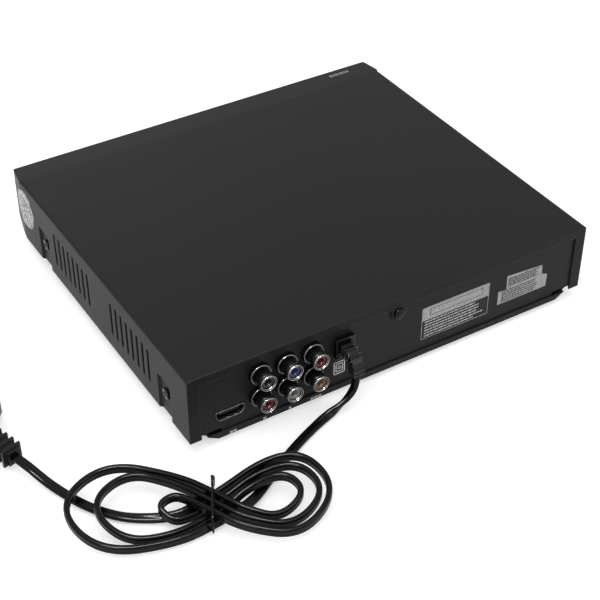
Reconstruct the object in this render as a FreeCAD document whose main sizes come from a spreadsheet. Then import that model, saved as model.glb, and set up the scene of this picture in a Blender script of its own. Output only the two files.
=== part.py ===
import FreeCAD, Part
import Sketcher
import math
import os
import re

# Mini disc player, 225 mm wide. z = 0 is the surface it stands on, x = 0 its middle, and y = 0 lies
# halfway between the front face (towards -Y) and the tips of the phono jacks (towards +Y).

doc = FreeCAD.newDocument("player")
sizes = doc.addObject("Spreadsheet::Sheet", "sizes")

SIZES = {
    # case
    "case_width": 225.0,
    "case_depth": 186.0,
    "cover_height": 37.1,
    "cover_gauge": 0.8,
    "cover_bend": 1.3,
    "seat_gap": 0.1,
    "foot_height": 2.5,
    "foot_radius": 7.5,
    "foot_inset_x": 27.0,
    "foot_inset_y": 19.0,
    # pressed pan
    "pan_gauge": 0.8,
    "pan_drop": 3.3,
    "pan_shelf": 14.5,
    "pan_slope": 7.2,
    "shelf_lift": 0.9,
    "pan_flange": 17.0,
    "pan_lip": 9.0,
    "bead_height": 1.0,
    "bead_width": 7.0,
    "bead_length": 92.0,
    "bead_pitch": 34.0,
    "vent_width": 3.0,
    "vent_length": 34.0,
    "vent_pitch": 7.0,
    "vent_count": 8,
    # cover
    "lip_top": 5.0,
    "lip_side": 6.0,
    "rear_tab_radius": 4.3,
    "rear_screw_drop": 8.3,
    "slot_width": 2.0,
    "slot_length": 19.3,
    "slot_corner": 0.6,
    "slot_pitch": 5.65,
    "slot_count": 8,
    "slot_setback": 41.6,
    "slot_group_pitch": 65.9,
    "slot_lift": 18.6,
    "dimple_depth": 1.3,
    "dimple_width": 12.5,
    "dimple_height": 21.0,
    "dimple_setback": 26.5,
    "dimple_pitch": 135.6,
    "dimple_screw_lift": 12.3,
    "screw_hole_radius": 1.6,
    "screw_radius": 1.4,
    "screw_head_radius": 2.9,
    "screw_head_height": 1.3,
    "screw_length": 5.0,
    "thread_gap": 0.05,
    # rear panel, jacks and port
    "panel_gauge": 0.8,
    "panel_side_gap": 0.6,
    "panel_corner": 2.0,
    "tongue_inset": 2.0,
    "panel_fold": 8.0,
    "jack_reach": 8.5,
    "jack_pitch_x": 13.9,
    "jack_pitch_z": 13.2,
    "jack_inset": 50.5,
    "jack_low": 6.7,
    "jack_boss_radius": 5.2,
    "jack_boss_reach": 2.4,
    "jack_radius": 4.15,
    "jack_wall": 0.6,
    "jack_recess": 0.9,
    "jack_bore_radius": 1.7,
    "jack_bore_depth": 5.0,
    "jack_hole_gap": 0.3,
    "insert_gap": 0.05,
    "housing_depth": 11.0,
    "housing_margin": 7.5,
    "port_inset": 21.2,
    "port_width": 15.0,
    "port_height": 5.6,
    "port_wall": 0.4,
    "port_depth": 11.0,
    "port_chamfer": 2.0,
    "port_proud": 0.4,
    "port_hole_gap": 0.35,
    "port_tongue_width": 10.4,
    "port_tongue": 1.3,
    # boards
    "board_standoff": 7.2,
    "board_gauge": 1.6,
    "board_width": 66.0,
    "board_side_gap": 6.5,
    "board_back_gap": 2.4,
    "main_board_length": 78.0,
    "board_apart": 6.8,
    "power_board_setback": 6.0,
    "standoff_radius": 3.0,
    "board_hole_inset": 4.5,
    "inner_screw_radius": 1.3,
    "inner_head_radius": 2.5,
    "inner_head_height": 1.6,
    "inner_screw_length": 6.0,
    # loader frame
    "loader_side_gap": 8.5,
    "spindle_setback": 54.0,
    "loader_width": 136.0,
    "loader_length": 163.0,
    "loader_setback": 2.0,
    "loader_wall": 2.0,
    "loader_boss": 1.5,
    "loader_boss_radius": 5.0,
    "loader_floor": 1.8,
    "loader_rail": 13.0,
    "loader_high": 30.4,
    "loader_back_high": 22.0,
    "loader_lug_inset": 7.0,
    "ledge_width": 6.0,
    "ledge_height": 1.5,
    "hook_width": 3.0,
    "hook_length": 8.0,
    "gear_bay": 30.0,
    "post_radius": 2.0,
    "post_top": 22.4,
    "shaft_gap": 0.06,
    "pivot_post": 4.0,
    "pivot_post_length": 10.0,
    "pivot_post_high": 19.0,
    "guide_rib": 1.2,
    "guide_height": 1.7,
    # tray
    "tray_gap": 0.5,
    "tray_low": 24.0,
    "tray_high": 28.6,
    "tray_back": 62.0,
    "disc_radius": 60.6,
    "small_disc_radius": 40.6,
    "disc_step": 2.2,
    "small_disc_step": 0.8,
    "tray_slot_radius": 18.0,
    "rail_gap": 0.35,
    "door_low": 19.6,
    "door_high": 33.4,
    "door_wall": 2.6,
    "door_margin": 1.5,
    "door_gap": 0.4,
    # gears and belt
    "gear_module": 1.25,
    "tooth_backlash": 0.3,
    "tooth_height": 0.8,
    "tooth_depth": 1.05,
    "tooth_slope": 25.0,
    "pinion_teeth": 12,
    "wheel_teeth": 20,
    "belt_pinion_teeth": 10,
    "mesh_gap": 0.1,
    "gear_offset": 44.0,
    "gear_setback": 17.5,
    "belt_gear_drop": 4.0,
    "wheel_lift": 0.6,
    "wheel_thickness": 2.5,
    "rack_height": 3.5,
    "rack_back": 1.8,
    "rack_start": 9.0,
    "rack_length": 141.0,
    "rack_gap": 0.8,
    "hub_radius": 4.0,
    "pulley_low": 17.0,
    "pulley_height": 3.0,
    "pulley_rim": 0.6,
    "belt_pulley_radius": 8.5,
    "belt_groove_radius": 7.4,
    "motor_pulley_radius": 3.6,
    "motor_groove_radius": 2.6,
    "belt_size": 1.2,
    "belt_gap": 0.15,
    "motor_x": 14.0,
    "motor_setback": 13.5,
    "motor_radius": 10.0,
    "motor_top": 16.4,
    "motor_gap": 0.15,
    "motor_shaft_radius": 1.0,
    "motor_shaft_depth": 4.0,
    # lift frame and slider
    "lift_low": 12.4,
    "lift_gauge": 4.6,
    "lift_half_width": 50.0,
    "lift_front": 20.0,
    "lift_back": 96.0,
    "lift_rail": 10.0,
    "lift_front_rail": 7.5,
    "pivot_inset": 4.0,
    "pivot_radius": 2.0,
    "pivot_reach": 8.5,
    "pivot_height": 14.7,
    "lift_pin_radius": 1.3,
    "lift_pin_height": 15.6,
    "lift_pin_reach": 9.5,
    "lift_angle": 2.8,
    "slider_travel": 14.0,
    "slider_gap": 6.0,
    "slider_gauge": 4.0,
    "slider_length": 62.0,
    "slider_rise": 0.4,
    "slider_top": 19.5,
    "slider_play": 0.3,
    "slot_play": 0.35,
    # deck on its dampers
    "damper_height": 2.0,
    "damper_radius": 4.0,
    "damper_bore": 1.7,
    "damper_post_radius": 1.5,
    "damper_spread": 88.0,
    "deck_gauge": 1.2,
    "deck_half_width": 49.0,
    "deck_half_length": 50.0,
    "deck_shift": 36.0,
    "deck_window": 54.0,
    "deck_window_front": 12.0,
    "deck_window_back": 82.0,
    "spindle_motor_radius": 11.5,
    "spindle_motor_height": 7.0,
    "spindle_shaft_radius": 1.2,
    "spindle_shaft_depth": 4.5,
    "turntable_radius": 14.0,
    "turntable_low": 24.4,
    "disc_plane": 28.2,
    "cone_radius": 7.3,
    "cone_top_radius": 5.2,
    "cone_height": 1.8,
    # pickup
    "guide_rod_radius": 1.5,
    "guide_rod_spread": 42.0,
    "guide_rod_start": 8.0,
    "guide_rod_length": 77.0,
    "guide_rod_height": 17.0,
    "clip_width": 6.0,
    "clip_length": 3.0,
    "clip_low": 14.6,
    "sled_width": 48.0,
    "sled_length": 21.0,
    "sled_low": 14.8,
    "sled_high": 21.4,
    "sled_setback": 24.0,
    "sled_bore_gap": 0.06,
    "lens_radius": 2.4,
    "lens_base_radius": 3.6,
    "lens_top": 26.4,
    "focus_travel": 0.5,
    "lens_gap": 0.1,
    "lead_offset": 30.5,
    "lead_height": 16.5,
    "lead_radius": 1.5,
    "lead_gap": 0.1,
    "nut_width": 7.0,
    "nut_length": 4.0,
    "sled_motor_radius": 6.0,
    "sled_motor_length": 14.0,
    "sled_motor_start": 4.0,
    # clamper
    "bridge_low": 33.4,
    "bridge_gauge": 1.0,
    "bridge_width": 34.0,
    "clamper_hole_radius": 10.6,
    "clamper_neck_radius": 9.6,
    "clamper_flange_radius": 13.0,
    "clamper_flange": 1.0,
    "clamper_pad_radius": 14.5,
    "clamper_pad": 2.6,
    "clamper_recess_radius": 8.2,
    "clamper_gap": 0.35,
    # front
    "bezel_depth": 14.5,
    "bezel_wall": 2.2,
    "bezel_taper": 2.0,
    "bezel_corner": 2.5,
    "face_lean": 1.1,
    "brow_cut_y": 0.8,
    "brow_cut_z": 1.5,
    "chin_height": 10.5,
    "chin_cut_y": 1.3,
    "chin_cut_z": 1.7,
    "chin_depth": 6.3,
    "toe_height": 1.6,
    "tab_width": 14.0,
    "tab_reach": 6.0,
    "tab_gauge": 1.1,
    "tab_spread": 150.0,
    "window_inset": 39.5,
    "window_z": 34.2,
    "window_width": 64.0,
    "window_height": 10.0,
    "window_gap": 0.15,
    "window_gauge": 1.8,
    "button_inset": 48.5,
    "button_pitch": 12.5,
    "button_width": 9.0,
    "button_height": 5.0,
    "button_z": 21.5,
    "button_gap": 0.3,
    "button_travel": 0.5,
    "button_lip": 1.0,
    "button_lip_gap": 0.5,
    "plunger": 3.0,
    "plunger_gap": 0.05,
    "usb_inset": 63.5,
    "usb_z": 21.2,
    "usb_width": 13.4,
    "usb_height": 6.2,
    "usb_wall": 0.4,
    "usb_setback": 1.4,
    "usb_gap": 0.3,
    "usb_tongue": 1.8,
    "front_board_setback": 12.6,
    "front_board_width": 72.8,
    "front_board_low": 14.0,
    "front_board_high": 40.2,
    "front_post_radius": 1.4,
    "front_post_inset": 1.6,
    "switch_width": 6.0,
    "switch_depth": 4.0,
    "switch_radius": 1.75,
    "switch_reach": 1.1,
    "display_width": 56.0,
    "display_height": 12.0,
    "display_depth": 6.0,
    # strain relief
    "relief_x": 31.0,
    "relief_width": 10.0,
    "relief_height": 11.2,
    "relief_low": 23.2,
    "relief_reach": 3.0,
    "relief_neck": 1.0,
    "relief_grip": 6.0,
    "relief_gap": 0.1,
    "tail_width": 5.2,
    "tail_thickness": 4.2,
    "tail_run": 2.0,
    "tail_bend": 7.1,
    "tail_drop": 2.3,
    "tail_rib": 0.9,
    "tail_rib_reach": 0.9,
    "tail_rib_count": 7,
    # mains lead and its hank
    "cord_radius": 2.0,
    "hank_x": 121.96,
    "hank_y": 134.27,
    "hank_turn": 151.5,
    "strand_angle": 36.0,
    "strand_pitch": 4.5,
    "waist_low": 3.3,
    "waist_high": 8.1,
    "loop_low": 3.8,
    "loop_end": 7.3,
    "loop_high": 7.8,
    "hank_tail": 5.0,
    "left_reach_1": 67.6,
    "left_half_1": 25.0,
    "left_shift_1": 1.4,
    "left_reach_2": 53.6,
    "left_half_2": 18.8,
    "left_shift_2": 1.3,
    "left_reach_3": 24.0,
    "left_half_3": 6.1,
    "left_shift_3": -0.9,
    "right_reach_1": 40.7,
    "right_half_1": 12.0,
    "right_shift_1": 4.9,
    "right_reach_2": 49.3,
    "right_half_2": 17.4,
    "right_shift_2": 5.2,
    "right_reach_3": 54.0,
    "right_half_3": 22.3,
    "right_shift_3": 5.3,
    "tie_radius": 0.6,
    "tie_half": 12.2,
    "tie_low": 0.65,
    "tie_high": 10.8,
    "tie_corner": 1.6,
    "tie_end": 6.0,
    "wire_radius": 0.9,
    # mains plug
    "plug_x": 183.4,
    "plug_y": 63.0,
    "plug_turn": -162.5,
    "plug_breadth": 35.3,
    "plug_face_breadth": 27.0,
    "plug_thickness": 13.7,
    "plug_length": 26.0,
    "plug_shoulder": 9.0,
    "plug_round": 3.0,
    "neck_width": 9.4,
    "neck_thickness": 7.4,
    "neck_length": 22.0,
    "neck_end_width": 6.6,
    "neck_rib": 1.2,
    "neck_rib_reach": 0.8,
    "neck_rib_count": 5,
    "pin_radius": 2.0,
    "pin_length": 19.0,
    "pin_spread": 18.6,
}

# Places worked out from the sizes, each written once.
PLACES = {
    "half_width": "case_width / 2",
    "front_face": "-(bezel_depth + case_depth + jack_reach) / 2",
    "seam": "front_face + bezel_depth",
    "cover_back": "seam + case_depth",
    "cover_low": "foot_height + pan_drop",
    "cover_high": "cover_low + cover_height",
    "cover_inside": "half_width - cover_gauge",
    "ceiling": "cover_high - cover_gauge",
    "screw_y": "seam + dimple_setback",
    "screw_z": "cover_low + dimple_screw_lift",
    "rear_screw_z": "cover_high - rear_screw_drop",
    "pan_top": "foot_height + pan_gauge",
    "pan_side": "cover_inside - dimple_depth - seat_gap",
    "pan_front": "seam + seat_gap",
    "pan_rise": "pan_drop + shelf_lift",
    "pan_mitre": "(sqrt(pan_slope^2 + pan_rise^2) - pan_slope) / pan_rise * pan_gauge",
    "shelf_low": "cover_low + shelf_lift",
    "shelf_high": "shelf_low + pan_gauge",
    "floor_half": "half_width - pan_shelf",
    "shelf_start": "floor_half + pan_slope",
    "wall_top": "cover_low - seat_gap",
    "wall_half": "floor_half + pan_slope * (wall_top - foot_height) / pan_rise",
    "wall_shift": "pan_gauge * sqrt(pan_slope^2 + pan_rise^2) / pan_rise",
    "panel_face": "cover_back - cover_gauge",
    "panel_back": "panel_face - panel_gauge",
    "panel_half": "cover_inside - panel_side_gap",
    "panel_high": "ceiling - seat_gap",
    "board_low": "pan_top + board_standoff",
    "board_high": "board_low + board_gauge",
    "main_back": "panel_back - board_back_gap",
    "main_front": "main_back - main_board_length",
    "power_front": "seam + power_board_setback",
    "power_back": "main_front - board_apart",
    "board_right": "half_width - board_side_gap",
    "board_left": "board_right - board_width",
    "hole_left": "board_left + board_hole_inset",
    "hole_right": "board_right - board_hole_inset",
    "boss_face": "panel_face + jack_boss_reach",
    "jack_tip": "cover_back + jack_reach",
    "jack_x": "half_width - jack_inset",
    "port_x": "half_width - port_inset",
    "jack_z": "board_high + jack_low",
    "port_back": "panel_face - port_depth",
    "port_top": "board_high + port_height",
    "spindle_offset": "half_width - loader_side_gap - loader_width / 2",
    "spindle_y": "seam + spindle_setback",
    "loader_left": "-spindle_offset - loader_width / 2",
    "loader_right": "-spindle_offset + loader_width / 2",
    "loader_front": "seam + loader_setback",
    "loader_back": "loader_front + loader_length",
    "loader_low": "pan_top + loader_boss",
    "loader_deck": "loader_low + loader_floor",
    "bay_back": "loader_front + gear_bay",
    "lug_left": "loader_left + loader_lug_inset",
    "lug_right": "loader_right - loader_lug_inset",
    "lug_front": "loader_front + loader_lug_inset",
    "lug_back": "loader_back - loader_lug_inset",
    "tray_half": "loader_width / 2 - loader_wall - tray_gap",
    "tray_left": "-spindle_offset - tray_half",
    "tray_right": "-spindle_offset + tray_half",
    "tray_front": "front_face + door_wall",
    "gear_x": "-spindle_offset - gear_offset",
    "gear_y": "seam + gear_setback",
    "pinion_radius": "gear_module * pinion_teeth / 2",
    "centre_distance": "gear_module * (wheel_teeth + belt_pinion_teeth) / 2 + mesh_gap",
    "belt_gear_x": "gear_x + sqrt(centre_distance^2 - belt_gear_drop^2)",
    "belt_gear_y": "gear_y - belt_gear_drop",
    "motor_axis_x": "-spindle_offset + motor_x",
    "motor_axis_y": "seam + motor_setback",
    "rack_line": "gear_x - pinion_radius - mesh_gap",
    "rack_root": "rack_line - tooth_depth * gear_module",
    "wheel_low": "loader_deck + wheel_lift",
    "lift_left": "-spindle_offset - lift_half_width",
    "lift_right": "-spindle_offset + lift_half_width",
    "lift_front_y": "spindle_y - lift_front",
    "lift_back_y": "spindle_y + lift_back",
    "lift_high": "lift_low + lift_gauge",
    "pivot_y": "lift_back_y - pivot_inset",
    "slider_back": "lift_front_y - slider_gap",
    "slider_front": "slider_back - slider_gauge",
    "slider_left": "-spindle_offset - slider_length / 2 + slider_travel / 2",
    "lift_drop": "(pivot_y - (slider_back + slider_front) / 2) * sin(lift_angle)",
    "deck_low": "lift_high + damper_height",
    "deck_y": "spindle_y + deck_shift",
    "window_front": "spindle_y + deck_window_front",
    "window_back": "spindle_y + deck_window_back",
    "rod_front": "spindle_y + guide_rod_start",
    "rod_back": "rod_front + guide_rod_length",
    "sled_y": "spindle_y + sled_setback",
    "lead_x": "-spindle_offset + lead_offset",
    "sled_motor_front": "spindle_y + sled_motor_start",
    "sled_motor_back": "sled_motor_front + sled_motor_length",
    "bridge_high": "bridge_low + bridge_gauge",
    "brow_y": "front_face + face_lean",
    "cavity_half": "half_width - bezel_wall - bezel_taper",
    "board_front": "front_face + front_board_setback",
    "switch_front": "board_front - switch_depth",
    "switch_tip": "switch_front - switch_reach",
    "inside_face": "front_face + bezel_wall",
    "window_x": "half_width - window_inset",
    "button_first": "half_width - button_inset",
    "usb_x": "half_width - usb_inset",
    "front_board_right": "cavity_half - 0.5",
    "front_board_left": "front_board_right - front_board_width",
    "lip_front": "inside_face + button_lip_gap",
    "relief_z": "relief_low + relief_height / 2",
    "relief_face": "panel_face + relief_reach",
}

WORD = re.compile(r"[a-z][a-z_0-9]*")
PLANES = {"top": "XY_Plane", "front": "XZ_Plane", "side": "YZ_Plane"}
TURNS = {"x": ((0, 1, 0), 90), "y": ((1, 0, 0), -90), "z": ((0, 0, 1), 0)}
NODES = []
CUTS = []


def fill_sheet():
    """Each size is a cell of its own, named by its alias."""
    for row, (word, number) in enumerate(SIZES.items(), 1):
        sizes.set("A%d" % row, word)
        sizes.set("B%d" % row, str(number))
        sizes.setAlias("B%d" % row, word)
    doc.recompute()


def formula(text):
    """A size becomes its cell, and a place becomes what it is worked out from."""
    def swap(found):
        word = found.group(0)
        if word in SIZES:
            return "sizes." + word
        if word in PLACES:
            return "(" + formula(PLACES[word]) + ")"
        return word
    return WORD.sub(swap, str(text))


def bind(item, rules):
    for name, text in rules.items():
        item.setExpression(name, formula(text))


def size(word):
    """The number that a size's cell holds."""
    return float(getattr(sizes, word))


def node(item):
    NODES.append(item)
    return item


# Sketches and their features

def rect(left, low, right, high):
    return [(left, low), (right, low), (right, high), (left, high)]


def hexagon(across, up, radius):
    turns = [30 + 60 * corner for corner in range(6)]
    return [("%s + %s * cos(%d)" % (across, radius, turn), "%s + %s * sin(%d)" % (up, radius, turn))
            for turn in turns]


def mirrored(points):
    """The points, and then their images on the other side of the middle, in reverse."""
    return points + [("-(%s)" % across, up) for across, up in reversed(points)]


def origin_of(owner, role):
    return [item for item in owner.Origin.OriginFeatures if item.Role == role][0]


def locate(drawing, item, vertex, across, up):
    for kind, text in (("DistanceX", across), ("DistanceY", up)):
        number = drawing.addConstraint(Sketcher.Constraint(kind, -1, 1, item, vertex, 1.0))
        bind(drawing, {"Constraints[%d]" % number: text})


def add_outline(drawing, points):
    """Straight edges through the points, each placed from the sketch's origin."""
    first = drawing.GeometryCount
    corners = [FreeCAD.Vector(spot + 1, spot * spot, 0) for spot in range(len(points))]
    for spot in range(len(points)):
        drawing.addGeometry(Part.LineSegment(corners[spot - 1], corners[spot]))
    for spot, (across, up) in enumerate(points):
        after = first + (spot + 1) % len(points)
        drawing.addConstraint(Sketcher.Constraint("Coincident", first + spot, 2, after, 1))
        locate(drawing, first + spot, 2, across, up)


def add_circle(drawing, across, up, radius):
    ring = drawing.addGeometry(Part.Circle(FreeCAD.Vector(0, 0, 0), FreeCAD.Vector(0, 0, 1), 1.0))
    locate(drawing, ring, 3, across, up)
    number = drawing.addConstraint(Sketcher.Constraint("Radius", ring, 1.0))
    bind(drawing, {"Constraints[%d]" % number: radius})


def draw(owner, plane, at, outlines, circles):
    """A sketch on one of its own body's planes, moved along the plane's axis to a place."""
    drawing = owner.newObject("Sketcher::SketchObject", owner.Name + "_drawing")
    drawing.AttachmentSupport = [(origin_of(owner, PLANES[plane]), "")]
    drawing.MapMode = "FlatFace"
    way = "-1" if plane == "front" else "1"
    bind(drawing, {"AttachmentOffset.Base.z": "%s * (%s)" % (way, at)})
    for points in outlines:
        add_outline(drawing, points)
    for across, up, radius in circles:
        add_circle(drawing, across, up, radius)
    return drawing


def body(label):
    return node(doc.addObject("PartDesign::Body", label))


def pad(owner, plane, at, depth, outlines=(), circles=(), back=False, taper=None):
    """Material from a place on, along the plane's axis, or against it with back."""
    made = owner.newObject("PartDesign::Pad", owner.Name + "_pad")
    made.Profile = draw(owner, plane, at, outlines, circles)
    made.Reversed = (plane == "front") != back
    bind(made, {"Length": depth})
    if taper:
        bind(made, {"TaperAngle": taper})
    return made


def pocket(owner, plane, at, depth, outlines=(), circles=(), back=False, taper=None):
    """A cut from a place on, along the plane's axis, or against it with back."""
    made = owner.newObject("PartDesign::Pocket", owner.Name + "_pocket")
    made.Profile = draw(owner, plane, at, outlines, circles)
    made.Reversed = (plane != "front") != back
    bind(made, {"Length": depth})
    if taper:
        bind(made, {"TaperAngle": taper})
    CUTS.append(made)
    return made


def repeat(owner, features, axis, length, count):
    made = owner.newObject("PartDesign::LinearPattern", owner.Name + "_row")
    made.Originals = features
    made.Direction = (origin_of(owner, axis), [""])
    bind(made, {"Length": length, "Occurrences": count})
    owner.Tip = made
    return made


def round_edges(owner, radius, chosen):
    """A fillet on the edges of the body so far that the test picks."""
    doc.recompute()
    base = owner.Tip
    box = base.Shape.BoundBox
    names = ["Edge%d" % number for number, edge in enumerate(base.Shape.Edges, 1)
             if chosen(edge.BoundBox, box)]
    made = owner.newObject("PartDesign::Fillet", owner.Name + "_round")
    made.Base = (base, names)
    bind(made, {"Radius": radius})
    return made


# Primitives and their booleans

def block(name, x, y, z):
    """A box whose two ends along each axis are given as formulas."""
    made = doc.addObject("Part::Box", name)
    for length, axis, (low, high) in (("Length", "x", x), ("Width", "y", y), ("Height", "z", z)):
        bind(made, {length: "(%s) - (%s)" % (high, low), "Placement.Base." + axis: low})
    return made


def rod(name, foot, radius, length, axis="z"):
    made = doc.addObject("Part::Cylinder", name)
    line, angle = TURNS[axis]
    turn = FreeCAD.Rotation(FreeCAD.Vector(*line), angle)
    made.Placement = FreeCAD.Placement(FreeCAD.Vector(0, 0, 0), turn)
    bind(made, {"Radius": radius, "Height": length, "Placement.Base.x": foot[0],
                "Placement.Base.y": foot[1], "Placement.Base.z": foot[2]})
    return made


def prism(name, foot, radius, length, sides=6):
    """An upright pillar with flat sides, whose corners lie at the radius."""
    made = doc.addObject("Part::Prism", name)
    made.Polygon = sides
    bind(made, {"Circumradius": radius, "Height": length, "Placement.Base.x": foot[0],
                "Placement.Base.y": foot[1], "Placement.Base.z": foot[2]})
    return made


def fuse(name, pieces):
    made = doc.addObject("Part::MultiFuse", name)
    made.Shapes = pieces
    made.Refine = True
    return made


def cut(name, base, tools):
    tool = tools[0]
    if len(tools) > 1:
        tool = group(name + "_tools", tools)
    made = doc.addObject("Part::Cut", name)
    made.Base = base
    made.Tool = tool
    return made


def group(name, pieces):
    made = doc.addObject("Part::Compound", name)
    made.Links = pieces
    return made


def solid(label, shape, place=None):
    """A piece whose shape is worked out here, and then set down at a place."""
    made = node(doc.addObject("Part::Feature", label))
    made.Shape = shape
    if place:
        bind(made, dict(zip(("Placement.Base.x", "Placement.Base.y", "Placement.Base.z"), place)))
    return made


def screw(name, seat, axis, out, radius, length, head_radius, head_height):
    """A head on its seat, facing out along the axis or against it, and a shank behind it."""
    spot = "xyz".index(axis)
    head_foot, shank_foot = list(seat), list(seat)
    if out > 0:
        shank_foot[spot] = "(%s) - %s" % (seat[spot], length)
    else:
        head_foot[spot] = "(%s) - %s" % (seat[spot], head_height)
    head = rod(name + "_head", head_foot, head_radius, head_height, axis)
    shank = rod(name + "_shank", shank_foot, radius, length, axis)
    return fuse(name, [head, shank])


# Case

def top_cover():
    made = body("top_cover")
    wall = [("cover_inside", "ceiling"), ("cover_inside", "cover_low"),
            ("half_width", "cover_low"), ("half_width", "cover_high")]
    pad(made, "front", "seam + seat_gap", "case_depth - seat_gap", [mirrored(wall)])
    round_edges(made, "cover_bend", lambda edge, box: edge.YLength > 1 and edge.XLength < 0.01
                and abs(edge.ZMax - box.ZMax) < 0.01)
    round_edges(made, "cover_bend - cover_gauge", lambda edge, box: edge.YLength > 1
                and edge.XLength < 0.01 and abs(edge.ZMax - box.ZMax + size("cover_gauge")) < 0.01)
    rear_lip(made)
    side_dimples(made)
    for first in ("slot_setback", "slot_setback + slot_group_pitch"):
        slot_group(made, "seam + " + first)
    return made


def rear_lip(made):
    lip = [("half_width - lip_side", "cover_high - lip_top"), ("half_width - lip_side", "cover_low"),
           ("cover_inside + cover_gauge / 4", "cover_low"),
           ("cover_inside + cover_gauge / 4", "ceiling - cover_bend / 4"),
           ("cover_inside - cover_bend / 4", "ceiling + cover_gauge / 4")]
    pad(made, "front", "panel_face", "cover_gauge", [mirrored(lip)])
    tab = rect("-rear_tab_radius", "rear_screw_z", "rear_tab_radius", "cover_high - lip_top / 2")
    pad(made, "front", "panel_face", "cover_gauge", [tab])
    pad(made, "front", "panel_face", "cover_gauge", circles=[("0", "rear_screw_z", "rear_tab_radius")])
    pocket(made, "front", "panel_face - 1", "cover_gauge + 2",
           circles=[("0", "rear_screw_z", "screw_hole_radius")])


def side_dimples(made):
    """Sloped recesses open at the cover's lower edge, with their backs standing in as far."""
    def outline(grow):
        return rect("screw_y - dimple_width / 2 - %s" % grow, "cover_low - 4 * dimple_depth",
                    "screw_y + dimple_width / 2 + %s" % grow, "cover_low + dimple_height + %s" % grow)
    back = pad(made, "side", "cover_inside", "dimple_depth", [outline("cover_gauge * tan(22.5)")],
               back=True, taper="-45")
    hollow = pocket(made, "side", "half_width", "dimple_depth", [outline("0")], back=True, taper="-45")
    repeat(made, [back, hollow], "Y_Axis", "dimple_pitch", "2")
    other = pad(made, "side", "-cover_inside", "dimple_depth", [outline("cover_gauge * tan(22.5)")],
                taper="-45")
    other_hollow = pocket(made, "side", "-half_width", "dimple_depth", [outline("0")], taper="-45")
    repeat(made, [other, other_hollow], "Y_Axis", "dimple_pitch", "2")
    edge = rect("-half_width - 1", "seam", "half_width + 1", "cover_back")
    pocket(made, "top", "cover_low", "10 * dimple_depth", [edge], back=True)
    hole = pocket(made, "side", "-half_width - 1", "case_width + 2",
                  circles=[("screw_y", "screw_z", "screw_hole_radius")])
    repeat(made, [hole], "Y_Axis", "dimple_pitch", "2")


def slot_group(made, first):
    """A row of upright slots with their corners cut, through both sides of the cover."""
    middle = "cover_low + slot_lift"
    corners = []
    for way, height in (("-", "-"), ("+", "-"), ("+", "+"), ("-", "+")):
        near = ("%s %s (slot_width / 2 - slot_corner)" % (first, way),
                "%s %s slot_length / 2" % (middle, height))
        far = ("%s %s slot_width / 2" % (first, way),
               "%s %s (slot_length / 2 - slot_corner)" % (middle, height))
        corners += [near, far] if way != height else [far, near]
    slot = pocket(made, "side", "-half_width - 1", "case_width + 2", [corners])
    repeat(made, [slot], "Y_Axis", "slot_pitch * (slot_count - 1)", "slot_count")


def chassis_pan():
    made = body("chassis_pan")
    section = [("floor_half - pan_mitre", "pan_top"), ("shelf_start - pan_mitre", "shelf_high"),
               ("pan_side - pan_gauge", "shelf_high"), ("pan_side - pan_gauge", "shelf_low + pan_flange"),
               ("pan_side", "shelf_low + pan_flange"), ("pan_side", "shelf_low"),
               ("shelf_start", "shelf_low"), ("floor_half", "foot_height")]
    pad(made, "front", "pan_front", "panel_back - pan_front", [mirrored(section)])
    trough = [("floor_half - pan_mitre", "pan_top"), ("wall_half - wall_shift", "wall_top"),
              ("wall_half", "wall_top"), ("floor_half", "foot_height")]
    pad(made, "front", "panel_back", "panel_gauge", [mirrored(trough)])
    back = [("wall_half", "wall_top"), ("floor_half", "foot_height")]
    pad(made, "front", "panel_face", "cover_gauge", [mirrored(back)])
    lip = [("floor_half - 2 * pan_gauge", "pan_top + pan_lip"), ("floor_half - 2 * pan_gauge", "pan_top")]
    pad(made, "front", "pan_front", "pan_gauge", [mirrored(lip)])
    pan_beads(made)
    pan_bosses(made)
    hole = pocket(made, "side", "-pan_side - 1", "2 * pan_side + 2",
                  circles=[("screw_y", "screw_z", "screw_radius + thread_gap")])
    repeat(made, [hole], "Y_Axis", "dimple_pitch", "2")
    return made


def pan_beads(made):
    """Stiffening beads pressed up across the floor, and vents under the power board."""
    def bead(shrink):
        return rect("-spindle_offset - bead_length / 2 + %s" % shrink,
                    "spindle_y - bead_width / 2 + %s" % shrink,
                    "-spindle_offset + bead_length / 2 - %s" % shrink,
                    "spindle_y + bead_width / 2 - %s" % shrink)
    top = pad(made, "top", "pan_top", "bead_height", [bead("0")], taper="-30")
    under = pocket(made, "top", "foot_height", "bead_height", [bead("pan_gauge / 2")], taper="-30")
    repeat(made, [top, under], "Y_Axis", "bead_pitch * 2", "3")
    vent = rect("hole_left + vent_pitch", "power_front + 2 * vent_length / 3",
                "hole_left + vent_pitch + vent_width", "power_front + 5 * vent_length / 3")
    slot = pocket(made, "top", "foot_height - 1", "pan_gauge + 2", [vent])
    repeat(made, [slot], "X_Axis", "vent_pitch * (vent_count - 1)", "vent_count")


def pan_bosses(made):
    low = [(x, y) for x in ("lug_left", "lug_right") for y in ("lug_front", "lug_back")]
    rings = [(x, y, "loader_boss_radius") for x, y in low]
    pad(made, "top", "pan_top", "loader_boss", circles=rings)
    high = board_holes()
    pad(made, "top", "pan_top", "board_standoff", [hexagon(x, y, "standoff_radius") for x, y in high])
    pocket(made, "top", "pan_top", "board_standoff",
           circles=[(x, y, "inner_screw_radius + thread_gap") for x, y in low + high])


def board_holes():
    rows = ("main_front + board_hole_inset", "main_back - 3 * board_hole_inset",
            "power_front + board_hole_inset", "power_back - board_hole_inset")
    return [(x, y) for x in ("hole_left", "hole_right") for y in rows]


def jack_places():
    columns = ("jack_x + jack_pitch_x", "jack_x", "jack_x - jack_pitch_x")
    return [(x, z) for z in ("jack_z + jack_pitch_z", "jack_z") for x in columns]


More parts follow.
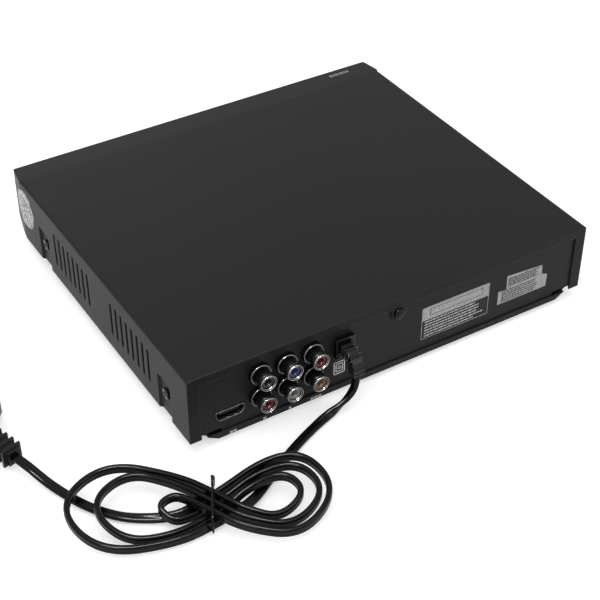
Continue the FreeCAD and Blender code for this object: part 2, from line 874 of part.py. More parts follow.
def port_outline(grow):
    """Flat on top, with its two lower corners cut at 45 degrees; grow moves every side out."""
    side = "port_width / 2 + %s" % grow
    corner = "port_chamfer + (2 - sqrt(2)) * (%s)" % grow
    low = "board_high - (%s)" % grow
    high = "port_top + (%s)" % grow
    return [("port_x - (%s)" % side, high), ("port_x - (%s)" % side, "%s + %s" % (low, corner)),
            ("port_x - (%s) + %s" % (side, corner), low), ("port_x + (%s) - (%s)" % (side, corner), low),
            ("port_x + %s" % side, "%s + %s" % (low, corner)), ("port_x + %s" % side, high)]


def rear_panel():
    made = body("rear_panel")
    plate = [("floor_half - tongue_inset", "pan_top + seat_gap"),
             ("floor_half - tongue_inset", "shelf_high + seat_gap"),
             ("panel_half", "shelf_high + seat_gap"), ("panel_half", "panel_high - panel_corner"),
             ("panel_half - panel_corner", "panel_high")]
    pad(made, "front", "panel_back", "panel_gauge", [mirrored(plate)])
    fold = [("panel_half - 2 * panel_corner", "panel_high - panel_gauge"),
            ("panel_half - 2 * panel_corner", "panel_high")]
    pad(made, "front", "panel_back - panel_fold", "panel_fold", [mirrored(fold)])
    rings = [(x, z, "jack_boss_radius + jack_hole_gap") for x, z in jack_places()]
    rings.append(("0", "rear_screw_z", "screw_radius + thread_gap"))
    neck = rect("relief_x - relief_width / 2 + relief_neck - relief_gap",
                "relief_low + relief_neck - relief_gap",
                "relief_x + relief_width / 2 - relief_neck + relief_gap",
                "relief_low + relief_height - relief_neck + relief_gap")
    pocket(made, "front", "panel_back - 1", "panel_gauge + 2", [port_outline("port_hole_gap"), neck], rings)
    return made


def front_bezel():
    made = body("front_bezel")
    outer = [("seam", "cover_high"), ("brow_y + brow_cut_y", "cover_high"),
             ("brow_y", "cover_high - brow_cut_z"), ("front_face", "cover_low + chin_height"),
             ("front_face + chin_cut_y", "cover_low + chin_height - chin_cut_z"),
             ("seam - chin_depth", "cover_low + toe_height"), ("seam", "cover_low")]
    pad(made, "side", "-half_width", "case_width", [outer])
    for way in ("-1", "1"):
        end = "%s * half_width" % way
        wedge = [(end, "seam - toe_height"), (end + " + " + way, "seam - toe_height"),
                 (end + " + " + way, "front_face - 1"), (end + " - %s * bezel_taper" % way, "front_face - 1")]
        pocket(made, "top", "0", "cover_high + 1", [wedge])
    round_edges(made, "bezel_corner", front_corner)
    inner = [("seam + 1", "cover_high - bezel_wall"), ("brow_y + bezel_wall", "cover_high - bezel_wall"),
             ("front_face + bezel_wall", "cover_low + chin_height + bezel_wall / 4"),
             ("seam - chin_depth + bezel_wall / 2", "cover_low + toe_height + bezel_wall * 0.9"),
             ("seam + 1", "cover_low + bezel_wall")]
    pocket(made, "side", "-cavity_half", "2 * cavity_half", [inner])
    bezel_windows(made)
    bezel_posts(made)
    return made


def front_corner(edge, box):
    """The upright edges where the slanted front face meets the tapered ends."""
    upright = edge.ZLength > 10
    return upright and edge.YMax < box.YMin + 4 and edge.XLength < 1 and abs(edge.XMax) > 50


def bezel_windows(made):
    wall = ("front_face - 1", "bezel_wall + face_lean + 2")
    door = rect("tray_left - door_margin - door_gap", "door_low - door_gap",
                "tray_right + door_margin + door_gap", "door_high + door_gap")
    window = rect("window_x - window_width / 2", "window_z - window_height / 2",
                  "window_x + window_width / 2", "window_z + window_height / 2")
    socket = rect("usb_x - usb_width / 2 - usb_gap", "usb_z - usb_height / 2 - usb_gap",
                  "usb_x + usb_width / 2 + usb_gap", "usb_z + usb_height / 2 + usb_gap")
    pocket(made, "front", wall[0], wall[1], [door, window, socket])
    hole = pocket(made, "front", wall[0], wall[1],
                  [rect("button_first - button_width / 2 - button_gap",
                        "button_z - button_height / 2 - button_gap",
                        "button_first + button_width / 2 + button_gap",
                        "button_z + button_height / 2 + button_gap")])
    repeat(made, [hole], "X_Axis", "button_pitch * 3", "4")


def front_posts():
    sides = ("front_board_left + front_post_inset", "cavity_half - front_post_inset")
    heights = ("front_board_low + front_post_inset", "front_board_high - front_post_inset")
    return [(x, z) for x in sides for z in heights]


def bezel_posts(made):
    """Posts that carry the front board, and tabs that slide under the cover's roof."""
    pad(made, "front", "inside_face - bezel_wall / 4", "board_front - inside_face + bezel_wall / 4",
        circles=[(x, z, "front_post_radius") for x, z in front_posts()])
    top = "ceiling - seat_gap"
    tab = rect("-tab_spread / 2 - tab_width / 2", "%s - tab_gauge" % top,
               "-tab_spread / 2 + tab_width / 2", top)
    finger = pad(made, "front", "seam - tab_reach", "2 * tab_reach", [tab])
    repeat(made, [finger], "X_Axis", "tab_spread", "3")


def feet():
    spots = [(x, y) for x in ("-half_width + foot_inset_x", "half_width - foot_inset_x")
             for y in ("seam + foot_inset_y", "cover_back - foot_inset_y")]
    discs = [rod("foot", (x, y, "0"), "foot_radius", "foot_height") for x, y in spots]
    return node(group("feet", discs))


def cover_screws():
    pieces = []
    metric = ("screw_radius", "screw_length", "screw_head_radius", "screw_head_height")
    for back in ("0", "dimple_pitch"):
        for way, out in (("1", 1), ("-1", -1)):
            seat = ("%s * (half_width - dimple_depth)" % way, "screw_y + " + back, "screw_z")
            pieces.append(screw("side_screw", seat, "x", out, *metric))
    pieces.append(screw("rear_screw", ("0", "cover_back", "rear_screw_z"), "y", 1, *metric))
    return node(group("cover_screws", pieces))


# Jacks and port

def rca_housing():
    made = body("rca_housing")
    shell = rect("jack_x - jack_pitch_x - housing_margin", "board_high",
                 "jack_x + jack_pitch_x + housing_margin", "jack_z + jack_pitch_z + housing_margin")
    pad(made, "front", "panel_back - housing_depth", "housing_depth", [shell])
    pad(made, "front", "panel_back", "panel_gauge + jack_boss_reach",
        circles=[(x, z, "jack_boss_radius") for x, z in jack_places()])
    groove = rect("jack_x - jack_pitch_x / 2 - jack_wall", "jack_z + jack_pitch_z",
                  "jack_x - jack_pitch_x / 2 + jack_wall", "jack_z + jack_pitch_z + housing_margin + 1")
    gap = pocket(made, "front", "panel_back - housing_depth", "housing_depth", [groove])
    repeat(made, [gap], "X_Axis", "jack_pitch_x", "2")
    return made


def rca_shells():
    tubes = []
    for x, z in jack_places():
        foot = (x, "boss_face", z)
        barrel = rod("jack_barrel", foot, "jack_radius", "jack_tip - boss_face", "y")
        bore = rod("jack_bore", (x, "boss_face - 1", z), "jack_radius - jack_wall",
                   "jack_tip - boss_face + 2", "y")
        tubes.append(cut("jack_shell", barrel, [bore]))
    return node(group("rca_shells", tubes))


def rca_inserts():
    places = jack_places()
    colours = {"green": [places[0]], "blue": [places[1]], "red": [places[2], places[3]],
               "white": [places[4]], "yellow": [places[5]]}
    for colour, spots in colours.items():
        plugs = []
        for x, z in spots:
            core = rod("insert_core", (x, "boss_face", z), "jack_radius - jack_wall - insert_gap",
                       "jack_tip - boss_face - jack_recess", "y")
            bore = rod("insert_bore", (x, "jack_tip - jack_recess - jack_bore_depth", z), "jack_bore_radius",
                       "jack_bore_depth + 1", "y")
            plugs.append(cut("insert", core, [bore]))
        node(group("rca_insert_" + colour, plugs))


def hdmi_socket():
    made = body("hdmi_socket")
    pad(made, "front", "port_back", "port_depth + port_proud", [port_outline("0")])
    pocket(made, "front", "port_back + port_wall", "port_depth + port_proud", [port_outline("-port_wall")])
    tongue = rect("port_x - port_tongue_width / 2", "port_top - port_height / 2 - port_tongue / 2",
                  "port_x + port_tongue_width / 2", "port_top - port_height / 2 + port_tongue / 2")
    pad(made, "front", "port_back", "port_depth - port_tongue", [tongue])
    return made


# Boards

def board(label, front, back):
    made = body(label)
    holes = [(x, y, "screw_hole_radius") for x, y in board_holes() if front.split("_")[0] in y]
    pad(made, "top", "board_low", "board_gauge", [rect("board_left", front, "board_right", back)], holes)
    return made


def chip(name, x, y, width, length, height, foot="board_high"):
    """A part on a board, from its corner and its size."""
    return block(name, (x, "%s + %s" % (x, width)), (y, "%s + %s" % (y, length)),
                 (foot, "%s + %s" % (foot, height)))


def main_chips():
    parts = [chip("decoder", "board_left + 24", "main_front + 18", 20, 20, 1.6),
             chip("decoder_sink", "board_left + 26", "main_front + 20", 16, 16, 6, "board_high + 1.6"),
             chip("memory", "board_left + 48", "main_front + 14", 8, 11, 1.2),
             chip("flash", "board_left + 48", "main_front + 30", 6, 8, 1.5),
             chip("motor_driver", "board_left + 9", "main_front + 16", 8, 12, 2),
             chip("crystal", "board_left + 47", "main_front + 42", 10, 4, 3.5),
             chip("video_amplifier", "board_left + 18", "main_front + 48", 6, 9, 1.5),
             chip("loader_connector", "board_left + 4", "main_front + 34", 4, 16, 5),
             chip("power_connector", "board_left + 10", "main_front + 2", 16, 5, 7),
             chip("ribbon_connector", "board_right - 27", "main_front + 2", 16, 5, 5)]
    return node(group("main_chips", parts))


def transformer():
    """A bobbin between the two halves of its ferrite core."""
    left, front, foot = "board_left + 26", "power_front + 48", "board_high"
    core = chip("core", left, front, 26, 8, 19, foot)
    winding = chip("winding", left + " + 4", front + " - 6", 18, 20, 15, foot + " + 2")
    base = chip("bobbin", left + " + 2", front + " - 8", 22, 24, 2, foot)
    return node(fuse("transformer", [core, winding, base]))


def capacitors():
    spots = [("board_left + 16", "power_front + 28", "8", "22"),
             ("board_left + 58", "power_front + 52", "5", "16"),
             ("board_left + 58", "power_front + 66", "5", "16"),
             ("board_left + 16", "power_front + 70", "4", "12")]
    cans = [rod("capacitor", (x, y, "board_high"), radius, height) for x, y, radius, height in spots]
    return node(group("capacitors", cans))


# Disc loader

def loader_frame():
    made = body("loader_frame")
    floor = rect("loader_left", "loader_front", "loader_right", "loader_back")
    opening = rect("loader_left + loader_rail", "bay_back", "loader_right - loader_rail",
                   "loader_back - loader_rail")
    pad(made, "top", "loader_low", "loader_floor", [floor, opening])
    walls = [rect("loader_left", "loader_low", "loader_left + loader_wall", "loader_high"),
             rect("loader_right - loader_wall", "loader_low", "loader_right", "loader_high")]
    pad(made, "front", "loader_front", "loader_length", walls)
    pad(made, "top", "loader_low", "loader_back_high - loader_low",
        [rect("loader_left", "loader_back - loader_wall", "loader_right", "loader_back")])
    loader_ledges(made)
    loader_bay(made)
    loader_pivots(made)
    lugs = [(x, y, "screw_hole_radius") for x in ("lug_left", "lug_right") for y in ("lug_front", "lug_back")]
    pocket(made, "top", "loader_low - 1", "loader_floor + 2", circles=lugs)
    clear = [("loader_left - 1", "loader_low - 1"), ("loader_left - 1", "loader_deck + 1.3"),
             ("loader_left + 5.8", "loader_low - 1")]
    pocket(made, "front", "loader_front - 1", "loader_length + 2", [clear])
    return made


def loader_ledges(made):
    """Ledges under the tray's edges, and hooks over them."""
    high = "tray_low - rail_gap"
    reach = "loader_wall + ledge_width"
    ledges = [rect("loader_left", "%s - ledge_height" % high, "loader_left + %s" % reach, high),
              rect("loader_right - (%s)" % reach, "%s - ledge_height" % high, "loader_right", high)]
    pad(made, "front", "loader_front", "loader_length - loader_wall", ledges)
    over = "tray_high + rail_gap"
    reach = "loader_wall + hook_width"
    hooks = [rect("loader_left", over, "loader_left + %s" % reach, "loader_high"),
             rect("loader_right - (%s)" % reach, over, "loader_right", "loader_high")]
    hook = pad(made, "front", "loader_front + hook_length", "hook_length", hooks)
    repeat(made, [hook], "Y_Axis", "loader_length - 4 * hook_length", "3")


def loader_bay(made):
    """Gear posts, the motor's seat and the slider's guides on the front deck."""
    posts = [("gear_x", "gear_y", "post_radius")]
    pad(made, "top", "loader_low", "post_top - loader_low", circles=posts)
    pad(made, "top", "loader_low", "pulley_low + pulley_height - loader_low",
        circles=[("belt_gear_x", "belt_gear_y", "post_radius")])
    pocket(made, "top", "loader_low - 1", "loader_floor + 2",
           circles=[("motor_axis_x", "motor_axis_y", "motor_radius + motor_gap")])
    ends = ("slider_left - 2 * guide_rib", "slider_left + slider_length + slider_travel + 2 * guide_rib")
    ribs = [rect(ends[0], "slider_back + slider_play", ends[1], "slider_back + slider_play + guide_rib"),
            rect("motor_axis_x + motor_radius", "slider_front - slider_play - guide_rib", ends[1],
                 "slider_front - slider_play")]
    pad(made, "top", "loader_low", "loader_floor + guide_height", ribs)


def loader_pivots(made):
    """Bored posts beside the lift frame, for its two pivots."""
    span = ("pivot_y - pivot_post_length / 2", "pivot_y + pivot_post_length / 2")
    left = rect("lift_left - pivot_reach + 1", span[0], "lift_left - pivot_reach + 1 + pivot_post", span[1])
    right = rect("lift_right + pivot_reach - 1 - pivot_post", span[0], "lift_right + pivot_reach - 1",
                 span[1])
    pad(made, "top", "loader_low", "pivot_post_high - loader_low", [left, right])
    for start in ("lift_left - pivot_reach", "lift_right"):
        pocket(made, "side", start, "pivot_reach",
               circles=[("pivot_y", "pivot_height", "pivot_radius + shaft_gap")])


def disc_tray():
    made = body("disc_tray")
    pad(made, "top", "tray_low", "tray_high - tray_low",
        [rect("tray_left", "tray_front", "tray_right", "tray_back")])
    pocket(made, "top", "tray_high - disc_step", "disc_step + 1",
           circles=[("-spindle_offset", "spindle_y", "disc_radius")])
    pocket(made, "top", "tray_high - disc_step - small_disc_step", "disc_step",
           circles=[("-spindle_offset", "spindle_y", "small_disc_radius")])
    pocket(made, "top", "tray_low - 1", "tray_high - tray_low + 2",
           circles=[("-spindle_offset", "spindle_y", "tray_slot_radius")])
    pocket(made, "top", "tray_low - 1", "tray_high - tray_low + 2",
           [rect("-spindle_offset - tray_slot_radius", "spindle_y", "-spindle_offset + tray_slot_radius",
                 "tray_back + 1")])
    tray_rack(made)
    return made


def tray_rack(made):
    """A straight rack under the tray: a back and one tooth, repeated at the gear's pitch."""
    low = "tray_low - rack_height"
    back = rect("rack_root - rack_back", "tray_front + rack_start", "rack_root",
                "tray_front + rack_start + rack_length")
    pad(made, "top", low, "rack_height", [back])
    half = "(pi * gear_module / 2 - tooth_backlash) / 2"
    tip = "%s - tooth_height * gear_module * tan(tooth_slope)" % half
    root = "%s + tooth_depth * gear_module * tan(tooth_slope)" % half
    middle = "gear_y - gear_module * pi / 2"
    tooth = [("rack_root", "%s - (%s)" % (middle, root)),
             ("rack_line + tooth_height * gear_module", "%s - (%s)" % (middle, tip)),
             ("rack_line + tooth_height * gear_module", "%s + (%s)" % (middle, tip)),
             ("rack_root", "%s + (%s)" % (middle, root))]
    first = pad(made, "top", low, "rack_height", [tooth])
    count = "floor((tray_front + rack_start + rack_length - (%s)) / (gear_module * pi))" % middle
    repeat(made, [first], "Y_Axis", "gear_module * pi * (%s - 1)" % count, count)


def tray_door():
    """The moulded front of the tray, whose outer face leans as the bezel's does."""
    made = body("tray_front")
    lean = "face_lean / (cover_height - brow_cut_z - chin_height)"
    low = "front_face + (door_low - cover_low - chin_height) * %s" % lean
    high = "front_face + (door_high - cover_low - chin_height) * %s" % lean
    pad(made, "side", "tray_left - door_margin", "2 * (tray_half + door_margin)",
        [[(low, "door_low"), ("tray_front", "door_low"), ("tray_front", "door_high"), (high, "door_high")]])
    return made


def gear_points(teeth, turn):
    """Tooth outlines from the involute, with a tooth centred on the angle turn."""
    module, slope = size("gear_module"), math.radians(size("tooth_slope"))
    pitch = module * teeth / 2
    base = pitch * math.cos(slope)
    radii = (pitch - size("tooth_depth") * module, pitch, pitch + size("tooth_height") * module)
    half = (math.pi * module / 2 - size("tooth_backlash")) / 2 / pitch
    widths = []
    for radius in radii:
        angle = math.acos(min(1.0, base / radius))
        widths.append(half + math.tan(slope) - slope - (math.tan(angle) - angle))
    corners = [(-width, radius) for width, radius in zip(widths, radii)]
    corners += [(width, radius) for width, radius in reversed(list(zip(widths, radii)))]
    points = []
    for tooth in range(teeth):
        middle = turn + 2 * math.pi * tooth / teeth
        points += [FreeCAD.Vector(radius * math.cos(middle + aside), radius * math.sin(middle + aside), 0)
                   for aside, radius in corners]
    return points


def gear_disc(teeth, turn, low, height):
    points = gear_points(int(teeth), turn)
    face = Part.Face(Part.makePolygon(points + points[:1]))
    face.translate(FreeCAD.Vector(0, 0, low))
    return face.extrude(FreeCAD.Vector(0, 0, height))


def cylinder(radius, low, height):
    return Part.makeCylinder(radius, height, FreeCAD.Vector(0, 0, low))


def mesh_direction():
    """The angle from the tray gear's axis to the belt gear's."""
    distance = size("gear_module") * (size("wheel_teeth") + size("belt_pinion_teeth")) / 2 + size("mesh_gap")
    return math.asin(-size("belt_gear_drop") / distance)


def wheel_foot():
    """How high the wheels' undersides stand."""
    under = size("foot_height") + size("pan_gauge") + size("loader_boss")
    return under + size("loader_floor") + size("wheel_lift")


def tray_gear():
    """A wheel low down and a pinion that meets the rack, on one hub; heights count from its foot."""
    wheel = size("wheel_thickness")
    foot = wheel_foot()
    top = size("tray_low") - size("rack_gap") - foot
    pinion = size("tray_low") - size("rack_height") - foot - size("rack_gap")
    shape = gear_disc(size("wheel_teeth"), mesh_direction(), 0, wheel)
    shape = shape.fuse([cylinder(size("hub_radius"), 0, pinion + 1),
                        gear_disc(size("pinion_teeth"), math.pi, pinion, top - pinion)])
    shape = shape.cut(cylinder(size("post_radius") + size("shaft_gap"), -1, top + 2))
    return solid("tray_gear", shape.removeSplitter(), ("gear_x", "gear_y", "wheel_low"))


def pulley(low, outer, groove):
    height, rim = size("pulley_height"), size("pulley_rim")
    return cylinder(groove, low, height).fuse([cylinder(outer, low, rim),
                                               cylinder(outer, low + height - rim, rim)])


def belt_gear():
    foot = wheel_foot()
    low = size("pulley_low") - foot
    teeth = size("belt_pinion_teeth")
    shape = gear_disc(teeth, mesh_direction() + math.pi + math.pi / teeth, 0, size("wheel_thickness"))
    shape = shape.fuse([cylinder(size("hub_radius"), 0, low + 1),
                        pulley(low, size("belt_pulley_radius"), size("belt_groove_radius"))])
    shape = shape.cut(cylinder(size("post_radius") + size("shaft_gap"), -1, low + size("pulley_height") + 2))
    return solid("belt_gear", shape.removeSplitter(), ("belt_gear_x", "belt_gear_y", "wheel_low"))


def motor_pulley():
    depth = size("pulley_low") - size("motor_top") + size("motor_shaft_depth")
    shape = pulley(0, size("motor_pulley_radius"), size("motor_groove_radius"))
    shape = shape.fuse([cylinder(size("motor_shaft_radius"), -depth, depth + 1)])
    return solid("motor_pulley", shape.removeSplitter(), ("motor_axis_x", "motor_axis_y", "pulley_low"))


def loading_motor():
    case = rod("motor_case", ("motor_axis_x", "motor_axis_y", "loader_low"), "motor_radius",
               "motor_top - loader_low")
    bore = rod("motor_bore", ("motor_axis_x", "motor_axis_y", "motor_top - motor_shaft_depth - 1"),
               "motor_shaft_radius + shaft_gap", "motor_shaft_depth + 2")
    return node(cut("loading_motor", case, [bore]))


def belt_loop(first, second, apart, low):
    """The face inside a belt's line round two circles, lifted to its height."""
    lean = math.asin((first - second) / apart)
    rays = [FreeCAD.Vector(math.sin(lean), way * math.cos(lean), 0) for way in (1, -1)]
    starts = [ray * first for ray in rays]
    ends = [FreeCAD.Vector(apart, 0, 0) + ray * second for ray in rays]
    edges = [Part.LineSegment(starts[0], ends[0]),
             Part.Arc(ends[0], FreeCAD.Vector(apart + second, 0, 0), ends[1]),
             Part.LineSegment(ends[1], starts[1]),
             Part.Arc(starts[1], FreeCAD.Vector(-first, 0, 0), starts[0])]
    face = Part.Face(Part.Wire([edge.toShape() for edge in edges]))
    face.translate(FreeCAD.Vector(0, 0, low))
    return face


def drive_belt(driven, driver):
    """A square belt in the grooves of the two pulleys, wherever they stand."""
    start, finish = driven.Placement.Base, driver.Placement.Base
    across = finish - start
    apart = math.hypot(across.x, across.y)
    thick = size("belt_size")
    inner = [size(word) + size("belt_gap") for word in ("belt_groove_radius", "motor_groove_radius")]
    low = size("pulley_low") + (size("pulley_height") - thick) / 2
    outside = belt_loop(inner[0] + thick, inner[1] + thick, apart, low)
    loop = outside.cut(belt_loop(inner[0], inner[1], apart, low)).extrude(FreeCAD.Vector(0, 0, thick))
    loop.rotate(FreeCAD.Vector(0, 0, 0), FreeCAD.Vector(0, 0, 1),
                math.degrees(math.atan2(across.y, across.x)))
    loop.translate(FreeCAD.Vector(start.x, start.y, 0))
    return solid("drive_belt", loop)


def lift_frame():
    made = body("lift_frame")
    ring = [rect("lift_left", "lift_front_y", "lift_right", "lift_back_y"),
            rect("lift_left + lift_rail", "lift_front_y + lift_front_rail", "lift_right - lift_rail",
                 "lift_back_y - lift_rail")]
    pad(made, "top", "lift_low", "lift_gauge", ring)
    for start in ("lift_left - pivot_reach + 0.5", "lift_right - 1"):
        pad(made, "side", start, "pivot_reach + 0.5", circles=[("pivot_y", "pivot_height", "pivot_radius")])
    pad(made, "front", "lift_front_y - lift_pin_reach", "lift_pin_reach + 1",
        circles=[("-spindle_offset + slider_travel / 2", "lift_pin_height", "lift_pin_radius")])
    channel = rect("lift_left + lift_rail / 4", "lift_front_y + lift_front_rail + 8",
                   "lift_left + 3 * lift_rail / 4",
                   "lift_back_y - lift_rail - 8")
    groove = pocket(made, "top", "lift_low", "lift_gauge / 2", [channel])
    repeat(made, [groove], "X_Axis", "2 * lift_half_width - lift_rail", "2")
    pad(made, "top", "lift_high - 1", "damper_height + deck_gauge + 1.4",
        circles=[(x, y, "damper_post_radius") for x, y in damper_spots()])
    return made


def damper_spots():
    columns = ("lift_left + lift_rail * 0.6", "lift_right - lift_rail * 0.6")
    return [(x, y) for x in columns for y in ("deck_y - damper_spread / 2", "deck_y + damper_spread / 2")]


def damper_grommets():
    rings = []
    for x, y in damper_spots():
        ring = rod("damper", (x, y, "lift_high"), "damper_radius", "damper_height")
        bore = rod("damper_hole", (x, y, "lift_high - 1"), "damper_bore", "damper_height + 2")
        rings.append(cut("grommet", ring, [bore]))
    return node(group("damper_grommets", rings))


def traverse_deck():
    made = body("traverse_deck")
    plate = rect("-spindle_offset - deck_half_width", "deck_y - deck_half_length",
                 "-spindle_offset + deck_half_width", "deck_y + deck_half_length")
    opening = rect("-spindle_offset - deck_window / 2", "window_front", "-spindle_offset + deck_window / 2",
                   "window_back")
    holes = [(x, y, "damper_bore + damper_height / 4") for x, y in damper_spots()]
    holes.append(("-spindle_offset", "spindle_y", "spindle_shaft_radius * 3"))
    pad(made, "top", "deck_low", "deck_gauge", [plate, opening], holes)
    pocket(made, "top", "deck_low - 1", "deck_gauge + 2",
           [rect("lead_x - sled_motor_radius - 1", "sled_motor_front - 1", "lead_x + sled_motor_radius + 1",
                 "sled_motor_back + 1")])
    for way in "-+":
        x = "-spindle_offset %s guide_rod_spread / 2" % way
        for start in ("rod_front", "rod_back - clip_length"):
            pad(made, "front", start, "clip_length",
                [rect("%s - clip_width / 2" % x, "clip_low", "%s + clip_width / 2" % x,
                      "deck_low + deck_gauge / 2")])
    pad(made, "front", "rod_back - clip_length", "clip_length",
        [rect("lead_x - clip_width / 2", "clip_low - 1", "lead_x + clip_width / 2",
              "deck_low + deck_gauge / 2")])
    pocket(made, "front", "rod_front - 1", "guide_rod_length + 2",
           circles=[("-spindle_offset - guide_rod_spread / 2", "guide_rod_height", "guide_rod_radius"),
                    ("-spindle_offset + guide_rod_spread / 2", "guide_rod_height", "guide_rod_radius")])
    pocket(made, "front", "rod_back - clip_length - 1", "clip_length + 2",
           circles=[("lead_x", "lead_height", "lead_radius + shaft_gap")])
    return made


def spindle_motor():
    foot = ("-spindle_offset", "spindle_y", "deck_low - spindle_motor_height")
    case = rod("spindle_case", foot, "spindle_motor_radius", "spindle_motor_height")
    bore = rod("spindle_bore", ("-spindle_offset", "spindle_y", "deck_low - spindle_shaft_depth - 0.5"),
               "spindle_shaft_radius + shaft_gap", "spindle_shaft_depth + 2")
    return node(cut("spindle_motor", case, [bore]))


def turntable():
    """Shaft, platter and centring cone, turned about the spindle's axis."""
    made = body("turntable")
    half = [("0", "deck_low - spindle_shaft_depth"),
            ("spindle_shaft_radius", "deck_low - spindle_shaft_depth"),
            ("spindle_shaft_radius", "turntable_low"), ("turntable_radius - 1", "turntable_low + 1"),
            ("turntable_radius", "disc_plane"), ("cone_radius", "disc_plane"),
            ("cone_top_radius", "disc_plane + cone_height"), ("0", "disc_plane + cone_height")]
    drawing = draw(made, "front", "0", [half], [])
    turned = made.newObject("PartDesign::Revolution", "turntable_turned")
    turned.Profile = drawing
    turned.ReferenceAxis = (drawing, ["V_Axis"])
    turned.Angle = 360
    bind(made, {"Placement.Base.x": "-spindle_offset", "Placement.Base.y": "spindle_y"})
    return made


def guide_rods():
    rods = [rod("guide_rod", ("-spindle_offset %s guide_rod_spread / 2" % way, "rod_front",
                              "guide_rod_height"),
                "guide_rod_radius", "guide_rod_length", "y") for way in "-+"]
    return node(group("guide_rods", rods))


def pickup_sled():
    made = body("pickup_sled")
    front, back = "sled_y - sled_length / 2", "sled_y + sled_length / 2"
    half = [("sled_width / 2", front), ("sled_width / 2", back), ("sled_width / 4", back),
            ("sled_width / 4", back + " + sled_length / 5")]
    outline = [("-spindle_offset + %s" % x, y) for x, y in mirrored(half)]
    pad(made, "top", "sled_low", "sled_high - sled_low", [outline])
    pocket(made, "top", "sled_high - lens_gap * 12", "lens_gap * 20",
           [rect("-spindle_offset - sled_width / 5", "sled_y - sled_length / 3",
                 "-spindle_offset + sled_width / 5",
                 "sled_y + sled_length / 2")])
    nut = rect("-spindle_offset + sled_width / 2 - 1", "lead_height - lead_radius - 1",
               "lead_x + nut_width / 2", "lead_height + lead_radius + 0.7")
    pad(made, "front", "sled_y - nut_length / 2", "nut_length", [nut])
    pocket(made, "front", front + " - 1", "sled_length * 1.2 + 2",
           circles=[("-spindle_offset - guide_rod_spread / 2", "guide_rod_height",
                     "guide_rod_radius + sled_bore_gap"),
                    ("-spindle_offset + guide_rod_spread / 2", "guide_rod_height",
                     "guide_rod_radius + sled_bore_gap"),
                    ("lead_x", "lead_height", "lead_radius + lead_gap")])
    return made


def pickup_lens():
    low = "sled_high + lens_gap + focus_travel - lens_gap * 12"
    base = rod("lens_base", ("-spindle_offset", "sled_y", low), "lens_base_radius", "lens_base_radius / 2")
    barrel = rod("lens_barrel", ("-spindle_offset", "sled_y", low), "lens_radius", "lens_top - (%s)" % low)
    return node(fuse("pickup_lens", [base, barrel]))


def sled_motor():
    case = rod("sled_motor_case", ("lead_x", "sled_motor_front", "lead_height"), "sled_motor_radius",
               "sled_motor_length", "y")
    bore = rod("sled_motor_bore", ("lead_x", "sled_motor_back - 3 - shaft_gap", "lead_height"),
               "lead_radius + shaft_gap", "4", "y")
    return node(cut("sled_motor", case, [bore]))


def lead_screw():
    made = rod("lead_screw", ("lead_x", "sled_motor_back - 3", "lead_height"), "lead_radius",
               "rod_back - sled_motor_back + 3", "y")
    return node(made)


def cam_slider():
    """A plate with a slanted slot: as it slides, the lift frame's pin follows the slot down."""
    made = body("cam_slider")
    low = "loader_deck + slider_rise"
    pad(made, "front", "slider_front", "slider_gauge",
        [rect("slider_left", low, "slider_left + slider_length", "slider_top")])
    wide = "lift_pin_radius + slot_play"
    top = ("-spindle_offset + slider_travel / 2", "lift_pin_height")
    end = ("-spindle_offset - slider_travel / 2", "lift_pin_height - lift_drop")
    run = "sqrt(slider_travel^2 + (lift_drop)^2)"
    aside = ("(%s) * lift_drop / %s" % (wide, run), "(%s) * slider_travel / %s" % (wide, run))
    band = [("%s - %s" % (top[0], aside[0]), "%s + %s" % (top[1], aside[1])),
            ("%s - %s" % (end[0], aside[0]), "%s + %s" % (end[1], aside[1])),
            ("%s + %s" % (end[0], aside[0]), "%s - %s" % (end[1], aside[1])),
            ("%s + %s" % (top[0], aside[0]), "%s - %s" % (top[1], aside[1]))]
    pocket(made, "front", "slider_front - 1", "slider_gauge + 2", [band])
    for x, z in (top, end):
        pocket(made, "front", "slider_front - 1", "slider_gauge + 2", circles=[(x, z, wide)])
    return made


def clamper_bridge():
    made = body("clamper_bridge")
    front, back = "spindle_y - bridge_width / 2", "spindle_y + bridge_width / 2"
    pad(made, "top", "bridge_low", "bridge_gauge", [rect("loader_left", front, "loader_right", back)],
        [("-spindle_offset", "spindle_y", "clamper_hole_radius")])
    legs = [rect("loader_left", "loader_high", "loader_left + loader_wall", "bridge_low"),
            rect("loader_right - loader_wall", "loader_high", "loader_right", "bridge_low")]
    pad(made, "front", front, "bridge_width", legs)
    ribs = [rect("loader_left", "bridge_high", "-spindle_offset - clamper_flange_radius - 2",
                 "bridge_high + 1.5"),
            rect("-spindle_offset + clamper_flange_radius + 2", "bridge_high", "loader_right",
                 "bridge_high + 1.5")]
    rib = pad(made, "front", front, "loader_wall", ribs)
    repeat(made, [rib], "Y_Axis", "bridge_width - loader_wall", "2")
    return made


def clamper():
    low = "bridge_low - clamper_gap - clamper_pad"
    high = "bridge_high + clamper_gap"
    axis = ("-spindle_offset", "spindle_y")
    padding = rod("clamper_pad", axis + (low,), "clamper_pad_radius", "clamper_pad")
    neck = rod("clamper_neck", axis + (low,), "clamper_neck_radius",
               "%s + clamper_flange - (%s)" % (high, low))
    flange = rod("clamper_flange", axis + (high,), "clamper_flange_radius", "clamper_flange")
    recess = rod("clamper_recess", axis + (low + " - 1",), "clamper_recess_radius", "cone_height + 0.5")
    return node(cut("clamper", fuse("clamper_turned", [padding, neck, flange]), [recess]))


# Front

def front_board():
    made = body("front_board")
    pad(made, "front", "board_front", "board_gauge",
        [rect("front_board_left", "front_board_low", "front_board_right", "front_board_high")])
    return made


def button_x(spot):
    return "button_first + %d * button_pitch" % spot


